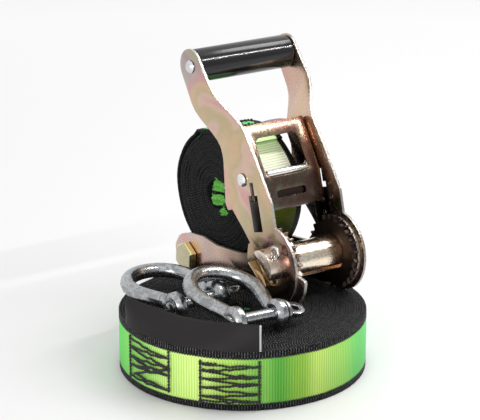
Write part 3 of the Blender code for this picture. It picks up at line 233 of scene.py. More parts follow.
def wound_path(core, radius, turns, loop_points, first_angle):
    """A tongue across the core, a fold, and turns that wind outward to the radius."""
    bend = core * CORE_BEND
    points = [(-core * share, 0.0) for share in CORE_TONGUE]
    for k in range(CORE_BEND_STEPS + 1):
        angle = math.radians(-90 + 90 * k / CORE_BEND_STEPS)
        points.append((core - bend + bend * math.cos(angle), bend + bend * math.sin(angle)))
    start = math.atan2(bend, core)
    first = math.hypot(core, bend)
    pitch = (radius - WEBBING_THICKNESS / 2 - first) / turns
    for k in range(1, turns * loop_points + 1):
        share = k / loop_points
        swell = noise.noise(Vector((share * 2.3, share * 0.37, 1.7))) * TURN_WOBBLE
        distance = first + pitch * share + swell
        angle = start + math.tau * share
        points.append((distance * math.cos(angle), distance * math.sin(angle)))
    turned = []
    for x, y in points:
        turned.append((
            x * math.cos(first_angle) - y * math.sin(first_angle),
            x * math.sin(first_angle) + y * math.cos(first_angle),
        ))
    return turned


def stops_of(ramp, stops):
    """Set a colour ramp's stops from (place, colour) pairs."""
    ramp.interpolation = "EASE"
    for index, (where, colour) in enumerate(stops):
        stop = ramp.elements[index] if index < 2 else ramp.elements.new(where)
        stop.position, stop.color = where, (*colour, 1)


def webbing_material(name, stops, turn_angle, centre, first, second, painted_glint_tone=0.06):
    """Green ribbed webbing with black edges.

    The stops are (share, colour) pairs of its tint round the roll's centre, from the first angle to the last,
    in the plane of the first and second directions: its green with painted light and shade round the roll.
    Its ribs are painted lighter on their crests, and its black edges carry painted glints there, as bright as
    the glint tone.
    """
    finish, tree, output = new_material(name)
    weave = node(tree, "ShaderNodeUVMap", uv_map="weave")
    split = node(tree, "ShaderNodeSeparateXYZ", {"Vector": weave.outputs["UV"]})
    along, across = split.outputs["X"], split.outputs["Y"]
    rib_phase = node(tree, "ShaderNodeMath", {0: along, 1: math.tau / RIB_PITCH}, operation="MULTIPLY")
    rib = node(tree, "ShaderNodeMath", {0: rib_phase.outputs[0]}, operation="SINE")
    yarn_phase = node(tree, "ShaderNodeMath", {0: across, 1: math.tau / YARN_PITCH}, operation="MULTIPLY")
    yarn = node(tree, "ShaderNodeMath", {0: yarn_phase.outputs[0]}, operation="SINE")
    weave_cell = node(tree, "ShaderNodeMath", {0: rib.outputs[0], 1: yarn.outputs[0]}, operation="MULTIPLY")
    off_middle = node(tree, "ShaderNodeMath", {0: across, 1: WEBBING_WIDTH / 2}, operation="SUBTRACT")
    distance = node(tree, "ShaderNodeMath", {0: off_middle.outputs[0]}, operation="ABSOLUTE")
    teeth = node(
        tree, "ShaderNodeMath", {0: rib.outputs[0], 1: SELVEDGE_TEETH, 2: distance.outputs[0]},
        operation="MULTIPLY_ADD",
    )
    edge = node(tree, "ShaderNodeMapRange", {
        "Value": teeth.outputs[0], "From Min": WEBBING_WIDTH / 2 - SELVEDGE - SELVEDGE_BLUR,
        "From Max": WEBBING_WIDTH / 2 - SELVEDGE + SELVEDGE_BLUR,
    })
    place = node(tree, "ShaderNodeTexCoord")
    spot = node(tree, "ShaderNodeVectorMath", {0: place.outputs["Object"], 1: centre}, operation="SUBTRACT")
    spot_a = node(tree, "ShaderNodeVectorMath", {0: spot.outputs[0], 1: first}, operation="DOT_PRODUCT")
    spot_b = node(tree, "ShaderNodeVectorMath", {0: spot.outputs[0], 1: second}, operation="DOT_PRODUCT")
    angle = node(
        tree, "ShaderNodeMath", {0: spot_b.outputs["Value"], 1: spot_a.outputs["Value"]}, operation="ARCTAN2",
    )
    share = node(tree, "ShaderNodeMapRange", {
        "Value": angle.outputs[0], "From Min": turn_angle[0], "From Max": turn_angle[1],
    })
    tint = node(tree, "ShaderNodeValToRGB", {"Fac": share.outputs[0]})
    stops_of(tint.color_ramp, stops)
    # Painted light and shade on the ribs: lighter on their crests, darker in their troughs.
    shade = node(tree, "ShaderNodeMapRange", {
        "Value": rib.outputs[0], "From Min": -1.0, "From Max": 1.0, "To Min": 0.78, "To Max": 1.12,
    })
    lit = node(
        tree, "ShaderNodeVectorMath", {0: tint.outputs["Color"], 1: shade.outputs[0]}, operation="MULTIPLY",
    )
    grain = node(tree, "ShaderNodeTexNoise", {
        "Vector": place.outputs["Object"], "Scale": 900.0, "Detail": 2.0,
    })
    # Painted highlight: the black edges get light grey glints where the rib crests would catch the light.
    crest = node(
        tree, "ShaderNodeMath", {0: grain.outputs["Fac"], 1: 1.1, 2: rib.outputs[0]},
        operation="MULTIPLY_ADD",
    )
    glint_mask = node(tree, "ShaderNodeMapRange", {
        "Value": crest.outputs[0], "From Min": 1.36, "From Max": 1.62, "To Min": 0.0, "To Max": 1.0,
    })
    black = node(tree, "ShaderNodeValToRGB", {"Fac": glint_mask.outputs[0]})
    black.color_ramp.elements[0].color = (0.0055, 0.0055, 0.006, 1)
    black.color_ramp.elements[1].color = (painted_glint_tone, painted_glint_tone, painted_glint_tone, 1)
    cloth = node(tree, "ShaderNodeMix", {"Factor": edge.outputs[0]}, data_type="RGBA")
    tree.links.new(lit.outputs[0], cloth.inputs[6])
    tree.links.new(black.outputs["Color"], cloth.inputs[7])
    height = node(
        tree, "ShaderNodeMath", {0: weave_cell.outputs[0], 1: 0.35, 2: rib.outputs[0]},
        operation="MULTIPLY_ADD",
    )
    bump = node(tree, "ShaderNodeBump", {"Height": height.outputs[0], "Strength": 0.55, "Distance": 0.00022})
    rough = node(tree, "ShaderNodeBump", {
        "Height": grain.outputs["Fac"], "Strength": 0.5, "Distance": 0.0004, "Normal": bump.outputs["Normal"],
    })
    shader = close_material(
        tree, output, Base_Color=cloth.outputs[2], Roughness=0.58, Normal=rough.outputs["Normal"],
    )
    shader.inputs["Specular IOR Level"].default_value = 0.10
    return finish


# The line's green round the roll, with painted light and shade: yellow-green where the light falls, darker
# olive in the shade between, and mint at the sides.
LINE_GREEN_AND_PAINTED_LIGHT = (
    (0.0, (0.24, 0.74, 0.22)), (0.08, (0.16, 0.66, 0.13)), (0.20, (0.30, 0.68, 0.14)),
    (0.32, (0.56, 0.82, 0.22)), (0.40, (0.64, 0.88, 0.24)), (0.46, (0.42, 0.68, 0.13)),
    (0.55, (0.21, 0.50, 0.09)), (0.59, (0.10, 0.36, 0.05)), (0.65, (0.24, 0.46, 0.06)),
    (0.70, (0.48, 0.68, 0.15)), (0.77, (0.36, 0.68, 0.14)), (0.87, (0.18, 0.66, 0.17)),
    (1.0, (0.20, 0.72, 0.28)),
)
LINE_TINT_ANGLES = (math.radians(-125), math.radians(55))
line_webbing = webbing_material(
    "line_webbing", LINE_GREEN_AND_PAINTED_LIGHT, LINE_TINT_ANGLES, (0, 0, 0), ALONG, ACROSS, painted_glint_tone=0.15,
)
line_turns = wound_path(LINE_CORE, LINE_RADIUS, LINE_TURNS, LINE_LOOP_POINTS, LINE_START)
line_points = [(x, y, 0.0) for x, y in line_turns]
line_roll, line_length = ribbon(
    "wound_line", line_points, UP, WEBBING_WIDTH, WEBBING_THICKNESS, LINE_RIPPLE, LINE_SEED,
)
for vert in line_roll.data.vertices:
    vert.co.z = max(vert.co.z, 0.0)
line_roll.data.materials.append(line_webbing)
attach(line_roll, "line")
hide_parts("line_roll")

# The line's sewn end: black polyester thread on the outer turn, in two boxes that a zigzag crosses. The lock
# stitches are machine sewn, and the thread has worked loose a little, so that its rows wander.

THREAD_RADIUS = 0.0011
STITCH_PITCH, STITCH_OVERLAP = 0.0026, 0.56
STITCH_SWAY, STITCH_STEPS = 0.0016, 10
THREAD_SEAT = 0.0003


def new_tree(name, sizes):
    """An empty Geometry Nodes tree that takes a mesh, named sizes and a material, with its two end nodes."""
    tree = bpy.data.node_groups.new(name, "GeometryNodeTree")
    face = tree.interface
    face.new_socket("Geometry", in_out="INPUT", socket_type="NodeSocketGeometry")
    for size in sizes:
        face.new_socket(size, in_out="INPUT", socket_type="NodeSocketFloat")
    face.new_socket("Material", in_out="INPUT", socket_type="NodeSocketMaterial")
    face.new_socket("Geometry", in_out="OUTPUT", socket_type="NodeSocketGeometry")
    return tree, tree.nodes.new("NodeGroupInput"), tree.nodes.new("NodeGroupOutput")


def stitches_tree():
    """Geometry Nodes: short thread stitches set along the edges of a mesh."""
    tree, given, result = new_tree("thread_stitches", ("Pitch", "Thread"))
    curve = node(tree, "GeometryNodeMeshToCurve", {"Mesh": given.outputs["Geometry"]})
    even = node(tree, "GeometryNodeCurveToPoints", {
        "Curve": curve.outputs["Curve"], "Length": given.outputs["Pitch"],
    }, mode="LENGTH")
    ball = node(tree, "GeometryNodeMeshUVSphere", {"Segments": 6, "Rings": 4, "Radius": 1.0})
    reach = node(tree, "ShaderNodeMath", {0: given.outputs["Pitch"], 1: STITCH_OVERLAP}, operation="MULTIPLY")
    scale = node(tree, "ShaderNodeCombineXYZ", {
        "X": given.outputs["Thread"], "Y": given.outputs["Thread"], "Z": reach.outputs[0],
    })
    placed = node(tree, "GeometryNodeInstanceOnPoints", {
        "Points": even.outputs["Points"], "Instance": ball.outputs["Mesh"],
        "Rotation": even.outputs["Rotation"], "Scale": scale.outputs["Vector"],
    })
    real = node(tree, "GeometryNodeRealizeInstances", {"Geometry": placed.outputs["Instances"]})
    dyed = node(tree, "GeometryNodeSetMaterial", {
        "Geometry": real.outputs["Geometry"], "Material": given.outputs["Material"],
    })
    tree.links.new(dyed.outputs["Geometry"], result.inputs["Geometry"])
    return tree


STITCHES = stitches_tree()


def grown(name, tree, source_mesh, values):
    """Run a Geometry Nodes tree on a mesh and keep the result as a plain object at the origin."""
    holder = in_scene(name + "_source", source_mesh)
    change = holder.modifiers.new("grow", "NODES")
    change.node_group = tree
    for socket in tree.interface.items_tree:
        if socket.item_type == "SOCKET" and socket.in_out == "INPUT" and socket.name in values:
            change[socket.identifier] = values[socket.name]
    depsgraph = bpy.context.evaluated_depsgraph_get()
    mesh = bpy.data.meshes.new_from_object(holder.evaluated_get(depsgraph), depsgraph=depsgraph)
    bpy.data.objects.remove(holder, do_unlink=True)
    mesh.name = name
    mesh.shade_smooth()
    return in_scene(name, mesh)


thread, tree, output = new_material("black_thread")
twist_place = node(tree, "ShaderNodeTexCoord")
twist = node(tree, "ShaderNodeTexNoise", {"Vector": twist_place.outputs["Object"], "Scale": 2400.0})
twist_bump = node(tree, "ShaderNodeBump", {
    "Height": twist.outputs["Fac"], "Strength": 0.4, "Distance": 0.0002,
})
close_material(
    tree, output, Base_Color=(0.01, 0.01, 0.012, 1), Roughness=0.5, Normal=twist_bump.outputs["Normal"],
)


def on_rim(angle_deg, height):
    """A point where the thread lies on the big roll's rim."""
    angle = math.radians(angle_deg)
    radius = LINE_RADIUS + THREAD_SEAT
    return (radius * math.cos(angle), radius * math.sin(angle), height)


STITCH_BOXES = (
    (-95.0, -69.0, 0.0425, 0.0105, (
        (0.0, 1.0), (1.0, 0.86), (0.0, 0.78), (1.0, 0.62), (0.0, 0.52), (1.0, 0.40), (0.0, 0.28), (1.0, 0.55),
        (0.15, 0.12), (1.0, 0.0),
    )),
    (-53.5, -27.5, 0.0405, 0.0080, (
        (0.0, 1.0), (0.25, 0.98), (0.0, 0.95), (1.0, 0.92), (0.55, 0.86), (0.0, 0.78), (1.0, 0.65),
        (0.0, 0.58), (1.0, 0.45), (0.0, 0.36), (1.0, 0.20), (0.0, 0.12), (1.0, 0.0),
    )),
)
BOX_RUNS = [[(0, -0.03), (0, 1.04)], [(1, 1.03), (1, -0.04)], [(0, 0), (1, 0)]]
for index, (from_deg, to_deg, top, bottom, zigzag) in enumerate(STITCH_BOXES):
    verts, edges = [], []
    for run in BOX_RUNS + [list(zigzag)]:
        for (a0, b0), (a1, b1) in zip(run, run[1:]):
            for k in range(STITCH_STEPS + 1):
                share = k / STITCH_STEPS
                a, b = a0 + (a1 - a0) * share, b0 + (b1 - b0) * share
                sway = noise.noise(Vector((a * 9, b * 9, index * 3.0))) * STITCH_SWAY
                verts.append(on_rim(from_deg + (to_deg - from_deg) * a, bottom + (top - bottom) * b + sway))
                if k:
                    edges.append((len(verts) - 2, len(verts) - 1))
    path = bpy.data.meshes.new("stitch_path")
    path.from_pydata(verts, edges, [])
    sewing = grown(f"line_stitches_{index + 1}", STITCHES, path, {
        "Pitch": STITCH_PITCH, "Thread": THREAD_RADIUS, "Material": thread,
    })
    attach(sewing, "line")

# The label: a long black satin tag, folded and sewn between the outer turns, so that it stands on the rim and
# leans a little inward in its middle. Its face is bare, and one end shows a pale seam, whose paleness is
# partly a painted highlight on its edge.

LABEL_LENGTH, LABEL_WIDTH, LABEL_THICKNESS = 0.137, 0.023, 0.0011
LABEL_RADIUS = 0.1015
LABEL_FROM, LABEL_TO = math.radians(-103), math.radians(-26.5)
LABEL_FOOT, LABEL_HEAD = 0.0485, 0.0715
LABEL_LEAN, LABEL_CURL, LABEL_WAVE = 0.80, 1.4, 0.0006
LABEL_DROP, LABEL_LEAST = 0.30, 0.45
LABEL_ROWS, LABEL_COLUMNS = 12, 48
SATIN_PITCH = 0.0009
SEAM_AND_HIGHLIGHT_FROM, SEAM_AND_HIGHLIGHT_TO = 0.1352, 0.1358


def fill_grid(made, grid, layer, weave_at):
    """Faces between rows of vertices; weave_at turns two shares of the grid into metres of cloth."""
    columns, rows = len(grid) - 1, len(grid[0]) - 1
    for i in range(columns):
        for j in range(rows):
            corners = ((i, j), (i + 1, j), (i + 1, j + 1), (i, j + 1))
            face = made.faces.new([grid[a][b] for a, b in corners])
            for loop, (a, b) in zip(face.loops, corners):
                loop[layer].uv = weave_at(a / columns, b / rows)


first_end = Vector((math.cos(LABEL_FROM), math.sin(LABEL_FROM), 0))
last_end = Vector((math.cos(LABEL_TO), math.sin(LABEL_TO), 0))
made = bmesh.new()
grid = []
for i in range(LABEL_COLUMNS + 1):
    share = i / LABEL_COLUMNS
    angle = LABEL_FROM + (LABEL_TO - LABEL_FROM) * share
    out = Vector((math.cos(angle), math.sin(angle), 0))
    lean = (first_end.lerp(last_end, share) - out) * LABEL_RADIUS * LABEL_LEAN
    column = []
    for j in range(LABEL_ROWS + 1):
        rise = j / LABEL_ROWS
        wave = noise.noise(Vector((share * 7, rise * 2, 0))) * LABEL_WAVE
        drop = 1 - (lean.length / (LABEL_HEAD - LABEL_FOOT)) ** 2 * LABEL_DROP
        point = out * (LABEL_RADIUS + wave) + lean * rise ** LABEL_CURL
        point.z = LABEL_FOOT + (LABEL_HEAD - LABEL_FOOT) * rise * max(drop, LABEL_LEAST)
        column.append(made.verts.new(point))
    grid.append(column)
label_weave = made.loops.layers.uv.new("weave")
fill_grid(made, grid, label_weave, lambda a, b: (a * LABEL_LENGTH, b * LABEL_WIDTH))
bmesh.ops.recalc_face_normals(made, faces=made.faces)
label_mesh = bpy.data.meshes.new("label")
made.to_mesh(label_mesh)
made.free()
label_mesh.shade_smooth()
label = in_scene("label", label_mesh)
thicken = label.modifiers.new("fold", "SOLIDIFY")
thicken.thickness = LABEL_THICKNESS
thicken.offset = 0
satin, tree, output = new_material("label_satin")
weave = node(tree, "ShaderNodeUVMap", uv_map="weave")
split = node(tree, "ShaderNodeSeparateXYZ", {"Vector": weave.outputs["UV"]})
satin_rib = node(
    tree, "ShaderNodeMath", {0: split.outputs["Y"], 1: math.tau / SATIN_PITCH}, operation="MULTIPLY",
)
satin_wave = node(tree, "ShaderNodeMath", {0: satin_rib.outputs[0]}, operation="SINE")
# The pale band at the label's end is its seam, partly painted as a highlight on its edge.
seam_and_highlight = node(tree, "ShaderNodeMapRange", {
    "Value": split.outputs["X"], "From Min": SEAM_AND_HIGHLIGHT_FROM, "From Max": SEAM_AND_HIGHLIGHT_TO, "To Min": 0.0, "To Max": 1.0,
})
label_colour = node(tree, "ShaderNodeValToRGB", {"Fac": seam_and_highlight.outputs[0]})
label_colour.color_ramp.elements[0].color = (0.012, 0.010, 0.011, 1)
label_colour.color_ramp.elements[1].color = (0.55, 0.55, 0.56, 1)
satin_bump = node(tree, "ShaderNodeBump", {
    "Height": satin_wave.outputs[0], "Strength": 0.25, "Distance": 0.00012,
})
satin_shader = close_material(
    tree, output, Base_Color=label_colour.outputs["Color"], Roughness=0.5,
    Normal=satin_bump.outputs["Normal"],
)
satin_shader.inputs["Specular IOR Level"].default_value = 0.2
label_mesh.materials.append(satin)
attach(label, "line")
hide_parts("line_label")

# The ratchet's frame: two plates blanked from 3 mm steel, zinc plated and yellow passivated, so that their
# faces shimmer from straw to pink, with bright torn edges where they were sheared. They hold the drum, the
# lock pawl, and a clamp bolt with its sleeve.

DRUM_X, BOLT_REACH = 0.0124, 0.127
DRUM = Vector((DRUM_X, 0.0573, 0.0843))
SHEET_EDGE, BAR_EDGE, BOLT_EDGE, WIRE_EDGE = 0.0003, 0.0004, 0.0007, 0.0
EASED_ANGLE, STEEL_CREASE = math.radians(38), math.radians(32)


def passivated(name, tints, roughness=0.2, cloud=11.0, sparkle=0.07, painted_light_fades=()):
    """Passivated zinc: smooth clouds of close tints, fine pits, and painted light and shade that follow a
    direction.

    Each fade is (from, axis, span, stops): a colour that multiplies the tint along an axis of the piece, as
    painted light and shade.
    """
    finish, tree, output = new_material(name)
    place = node(tree, "ShaderNodeTexCoord")
    clouds = node(tree, "ShaderNodeTexNoise", {
        "Vector": place.outputs["Object"], "Scale": cloud, "Detail": 1.5, "Distortion": 1.1,
    })
    bands = node(tree, "ShaderNodeValToRGB", {"Fac": clouds.outputs["Fac"]})
    stops_of(bands.color_ramp, [(0.32 + 0.36 * k / (len(tints) - 1), tint) for k, tint in enumerate(tints)])
    fine = node(tree, "ShaderNodeTexNoise", {
        "Vector": place.outputs["Object"], "Scale": 520.0, "Detail": 2.0,
    })
    speck = node(tree, "ShaderNodeMapRange", {
        "Value": fine.outputs["Fac"], "From Min": 0.3, "From Max": 0.7,
        "To Min": 1 - sparkle, "To Max": 1 + sparkle,
    })
    colour = node(
        tree, "ShaderNodeVectorMath", {0: bands.outputs["Color"], 1: speck.outputs[0]}, operation="MULTIPLY",
    )
    for start, axis, span, stops in painted_light_fades:
        offset = node(
            tree, "ShaderNodeVectorMath", {0: place.outputs["Object"], 1: start}, operation="SUBTRACT",
        )
        along = node(tree, "ShaderNodeVectorMath", {0: offset.outputs[0], 1: axis}, operation="DOT_PRODUCT")
        sway = node(
            tree, "ShaderNodeMath", {0: clouds.outputs["Fac"], 1: 0.12, 2: -0.06}, operation="MULTIPLY_ADD",
        )
        share = node(
            tree, "ShaderNodeMath", {0: along.outputs["Value"], 1: 1 / span, 2: sway.outputs[0]},
            operation="MULTIPLY_ADD",
        )
        painted_light_ramp = node(tree, "ShaderNodeValToRGB", {"Fac": share.outputs[0]})
        stops_of(painted_light_ramp.color_ramp, stops)
        colour = node(
            tree, "ShaderNodeVectorMath", {0: colour.outputs[0], 1: painted_light_ramp.outputs["Color"]},
            operation="MULTIPLY",
        )
    gloss = node(tree, "ShaderNodeMapRange", {
        "Value": fine.outputs["Fac"], "From Min": 0.25, "From Max": 0.75,
        "To Min": roughness - 0.05, "To Max": roughness + 0.09,
    })
    wavy = node(tree, "ShaderNodeTexNoise", {"Vector": place.outputs["Object"], "Scale": 45.0, "Detail": 2.0})
    swell = node(tree, "ShaderNodeBump", {
        "Height": wavy.outputs["Fac"], "Strength": 0.12, "Distance": 0.0009,
    })
    pit = node(tree, "ShaderNodeBump", {
        "Height": fine.outputs["Fac"], "Strength": sparkle, "Distance": 0.0003,
        "Normal": swell.outputs["Normal"],
    })
    close_material(
        tree, output, Base_Color=colour.outputs[0], Metallic=1.0, Roughness=gloss.outputs[0],
        Normal=pit.outputs["Normal"],
    )
    return finish


def sheared(name, bright):
    """The torn bright edge that a blanking punch leaves."""
    finish, tree, output = new_material(name)
    place = node(tree, "ShaderNodeTexCoord")
    tears = node(tree, "ShaderNodeTexNoise", {
        "Vector": place.outputs["Object"], "Scale": 700.0, "Detail": 3.0,
    })
    tone = node(tree, "ShaderNodeValToRGB", {"Fac": tears.outputs["Fac"]})
    torn, clean = tone.color_ramp.elements
    torn.position, torn.color = 0.38, (*[c * 0.55 for c in bright], 1)
    clean.position, clean.color = 0.60, (*bright, 1)
    burr = node(tree, "ShaderNodeBump", {"Height": tears.outputs["Fac"], "Strength": 0.7, "Distance": 0.0006})
    close_material(
        tree, output, Base_Color=tone.outputs["Color"], Metallic=0.85, Roughness=0.34,
        Normal=burr.outputs["Normal"],
    )
    return finish


CREAM, ROSE, STRAW, MOSS = (0.69, 0.50, 0.40), (0.66, 0.40, 0.36), (0.65, 0.48, 0.30), (0.57, 0.47, 0.29)
SOOT = (0.055, 0.042, 0.035)
plate_straw = passivated("straw_zinc", (ROSE, CREAM, STRAW, MOSS, STRAW, ROSE))
# The far plates' sheared edges are a duller copy of the same edge: painted shade.
torn_edge = {
    "left": sheared("sheared_edge", (0.62, 0.60, 0.56)),
    "right": sheared("shaded_far_sheared_edge", (0.46, 0.43, 0.40)),
}
dark_zinc = passivated("dark_zinc", (SOOT, (0.09, 0.06, 0.045), SOOT), roughness=0.3, cloud=18.0)
FRAME_LENGTH, FRAME_FOOT, FRAME_RISE = 0.17, 0.042, 0.02
# The frame is painted bright at the bolt end, darkest a little short of the drum, and near black along its
# foot: painted shade, with the painted reflection of the black webbing below.
frame_zinc = passivated("frame_zinc", (ROSE, (0.60, 0.46, 0.40), CREAM, ROSE), roughness=0.24, painted_light_fades=[
    (DRUM - Vector((BOLT_REACH, 0, 0)), ALONG, FRAME_LENGTH, [
        (0.0, (1.0, 1.0, 1.05)), (0.25, (0.82, 0.82, 0.84)), (0.42, (0.50, 0.47, 0.45)),
        (0.53, (0.14, 0.13, 0.12)), (0.80, (0.34, 0.30, 0.28)),
    ]),
    (Vector((0, 0, FRAME_FOOT)), UP, FRAME_RISE, [
        (0.0, (0.10, 0.09, 0.08)), (0.35, (0.14, 0.12, 0.11)), (0.60, (0.9, 0.88, 0.86)), (0.80, (1, 1, 1)),
    ]),
])


def dressed(name, bevel, body, materials, flat_axis=None):
    """A copy of a CAD node with its seams merged, its sharp edges eased, and its sheared faces told apart.

    The bevel is in metres. With a flat axis, the faces that look along it take the first material and the
    sheared ones between them the second.
    """
    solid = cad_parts[name]
    made = bmesh.new()
    made.from_mesh(solid.data)
    bmesh.ops.remove_doubles(made, verts=made.verts, dist=1e-6)
    bmesh.ops.dissolve_limit(made, angle_limit=math.radians(1.0), verts=made.verts, edges=made.edges)
    if bevel:
        sharp = [e for e in made.edges if len(e.link_faces) == 2 and e.calc_face_angle(0) > EASED_ANGLE]
        bmesh.ops.bevel(
            made, geom=sharp, offset=bevel, offset_type="OFFSET", segments=2, profile=0.5, affect="EDGES",
            clamp_overlap=True,
        )
    bmesh.ops.triangulate(made, faces=[f for f in made.faces if len(f.verts) > 4])
    if flat_axis is not None:
        axis = Vector(flat_axis).normalized()
        for face in made.faces:
            face.normal_update()
            face.material_index = 1 if abs(face.normal.dot(axis)) < 0.5 else 0
    mesh = bpy.data.meshes.new(name + "_dressed")
    made.to_mesh(mesh)
    made.free()
    for finish in materials:
        mesh.materials.append(finish)
    mesh.shade_smooth()
    mesh.set_sharp_from_angle(angle=STEEL_CREASE)
    piece = in_scene(name + "_dressed", mesh)
    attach(piece, body)
    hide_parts(name)
    return piece


for side in ("left", "right"):
    plate = dressed(f"frame_plate_{side}", SHEET_EDGE, "ratchet_frame", (frame_zinc, torn_edge[side]), ACROSS)
# The bolt's zinc with a painted reflection: olive on its end faces where they face the table, bright gold on
# its sides where they face the sky.
bolt_olive_and_reflection = passivated("bolt_olive_and_reflection", ((0.47, 0.45, 0.28), (0.55, 0.49, 0.34), (0.43, 0.41, 0.26)))
bolt_gold_and_reflection = passivated(
    "bolt_gold_and_reflection", ((1.0, 0.90, 0.38), (1.0, 0.84, 0.44), (1.0, 0.92, 0.46)), roughness=0.3, sparkle=0.04,
)
for name in ("clamp_bolt", "clamp_nut"):
    piece = dressed(name, BOLT_EDGE, "ratchet_frame", (bolt_olive_and_reflection, bolt_gold_and_reflection), ACROSS)
dressed("lock_guide", BAR_EDGE, "ratchet_frame", (plate_straw,))
bright_zinc = passivated(
    "bright_zinc", ((0.86, 0.86, 0.85), (0.74, 0.75, 0.76), (0.62, 0.60, 0.60)), cloud=30.0,
)
dressed("clamp_sleeve", SHEET_EDGE, "ratchet_frame", (bright_zinc,))
dressed("lock_spring", WIRE_EDGE, "ratchet_frame", (bright_zinc,))
dressed("lock_pawl", BAR_EDGE, "lock_pawl_body", (dark_zinc,))

# The drum: two half-round bars that grip the line between them, with a toothed wheel keyed at each side, a
# split pin through each end and a bent clip on the near one. The bars are cream zinc, painted lighter in the
# middle and darker and copper towards the far end as painted light and shade. The wheels are darker, and the
# far one is painted near black as painted shade.

FINE_EDGE = 0.0002
DRUM_LENGTH = 0.09
drum_start = DRUM - Vector((0, DRUM_LENGTH / 2, 0))
DRUM_TINTS = ((0.92, 0.86, 0.72), (0.90, 0.76, 0.62), (0.80, 0.68, 0.50))
# Painted light and shade along the drum: lightest in its middle, darker and copper towards the far end.
drum_cream = passivated("drum_cream", DRUM_TINTS, cloud=24.0, sparkle=0.12, painted_light_fades=[
    (drum_start, ACROSS, DRUM_LENGTH, [
        (0.0, (0.85, 0.84, 0.90)), (0.2, (1.0, 1.0, 1.0)), (0.62, (1.0, 0.98, 0.95)),
        (0.80, (0.98, 0.80, 0.66)), (0.95, (0.78, 0.62, 0.54)),
    ]),
])
WHEEL_TINTS = ((0.30, 0.22, 0.18), (0.18, 0.12, 0.10), (0.34, 0.28, 0.24))
# The far wheel is painted near black: painted shade behind the drum.
SHADED_FAR_WHEEL_TINTS = ((0.035, 0.026, 0.022), (0.06, 0.042, 0.034))
wheel_zinc = {
    "left": passivated("wheel_zinc", WHEEL_TINTS, roughness=0.3, cloud=30.0),
    "right": passivated("shaded_far_wheel_zinc", SHADED_FAR_WHEEL_TINTS, roughness=0.42, cloud=14.0, sparkle=0.03),
}
for name in ("half_shaft_upper", "half_shaft_lower"):
    dressed(name, BAR_EDGE, "drum", (drum_cream,))
for side in ("left", "right"):
    wheel = dressed(f"ratchet_wheel_{side}", FINE_EDGE, "drum", (wheel_zinc[side],))
    dressed(f"split_pin_{side}", WIRE_EDGE, "drum", (bright_zinc,))
dressed("shaft_clip", SHEET_EDGE, "drum", (plate_straw,))

# The handle: two long pressed plates that flare to the grip, riveted to a folded web with the finger window.
# The sprung drive pawl slides in their slots, a steel rod ties their ends, and their zinc is painted darker
# towards the drum, as painted shade.

HANDLE_TILT = math.radians(32.8)
HANDLE_UP = Vector((-math.sin(HANDLE_TILT), 0, math.cos(HANDLE_TILT)))
HANDLE_LENGTH, WEB_WIDTH, PAWL_LENGTH = 0.2, 0.06, 0.05
NEAR_TINTS = (ROSE, CREAM, MOSS, STRAW, ROSE, CREAM)
# Both plates are painted darker towards the drum as painted shade. The near one is painted greyer and cooler
# at its very top as painted light, and the far one is a darker copy, painted deep grey low down where it lies
# in shade.
handle_zinc = {
    "left": passivated("near_plate_zinc", NEAR_TINTS, roughness=0.18, cloud=15.0, sparkle=0.05, painted_light_fades=[
        (DRUM, HANDLE_UP, HANDLE_LENGTH, [
            (0.0, (0.42, 0.39, 0.38)), (0.10, (0.62, 0.60, 0.60)), (0.20, (0.86, 0.88, 0.90)),
            (0.30, (0.98, 0.95, 0.96)), (0.80, (0.95, 0.93, 0.95)), (0.92, (0.66, 0.80, 0.96)),
        ]),
    ]),
    "right": passivated("shaded_far_plate_zinc", (ROSE, CREAM, STRAW, ROSE), roughness=0.24, painted_light_fades=[
        (DRUM, HANDLE_UP, HANDLE_LENGTH, [
            (0.0, (0.50, 0.46, 0.46)), (0.16, (0.19, 0.22, 0.25)), (0.30, (0.30, 0.33, 0.37)),
            (0.38, (0.62, 0.64, 0.68)), (0.50, (0.98, 0.98, 0.94)), (1.0, (0.90, 0.86, 0.84)),
        ]),
    ]),
}
WEB_TINTS = (STRAW, (0.78, 0.66, 0.52), ROSE, (0.70, 0.60, 0.46))
# The web is painted dark low down and brighter higher up, and paler on its near side than its far one:
# painted light and shade.
web_zinc = passivated("web_zinc", WEB_TINTS, roughness=0.22, cloud=20.0, sparkle=0.05, painted_light_fades=[
    (DRUM, HANDLE_UP, HANDLE_LENGTH, [
        (0.0, (0.17, 0.17, 0.18)), (0.34, (0.20, 0.20, 0.20)), (0.42, (0.26, 0.23, 0.21)),
        (0.48, (0.34, 0.29, 0.27)), (0.53, (0.46, 0.38, 0.36)), (1.0, (0.46, 0.38, 0.36)),
    ]),
    (DRUM - Vector((0, WEB_WIDTH / 2, 0)), ACROSS, WEB_WIDTH, [
        (0.0, (1.15, 1.35, 1.25)), (0.4, (1.05, 1.15, 1.05)), (0.75, (0.92, 0.88, 0.82)),
        (1.0, (0.78, 0.68, 0.63)),
    ]),
])
for side in ("left", "right"):
    finishes = (handle_zinc[side], torn_edge[side])
    plate = dressed(f"handle_plate_{side}", SHEET_EDGE, "handle", finishes, ACROSS)
    dressed(f"web_rivet_{side}", SHEET_EDGE, "handle", (bright_zinc,))
    dressed(f"drive_spring_{side}", WIRE_EDGE, "handle", (bright_zinc,))
dressed("handle_web", SHEET_EDGE, "handle", (web_zinc,))
dressed("grip_rod", FINE_EDGE, "handle", (bright_zinc,))
PAWL_FOOT, PAWL_UP = DRUM + Vector((-0.0182, 0, 0.0240)), Vector((-0.2689, 0, 0.9632))
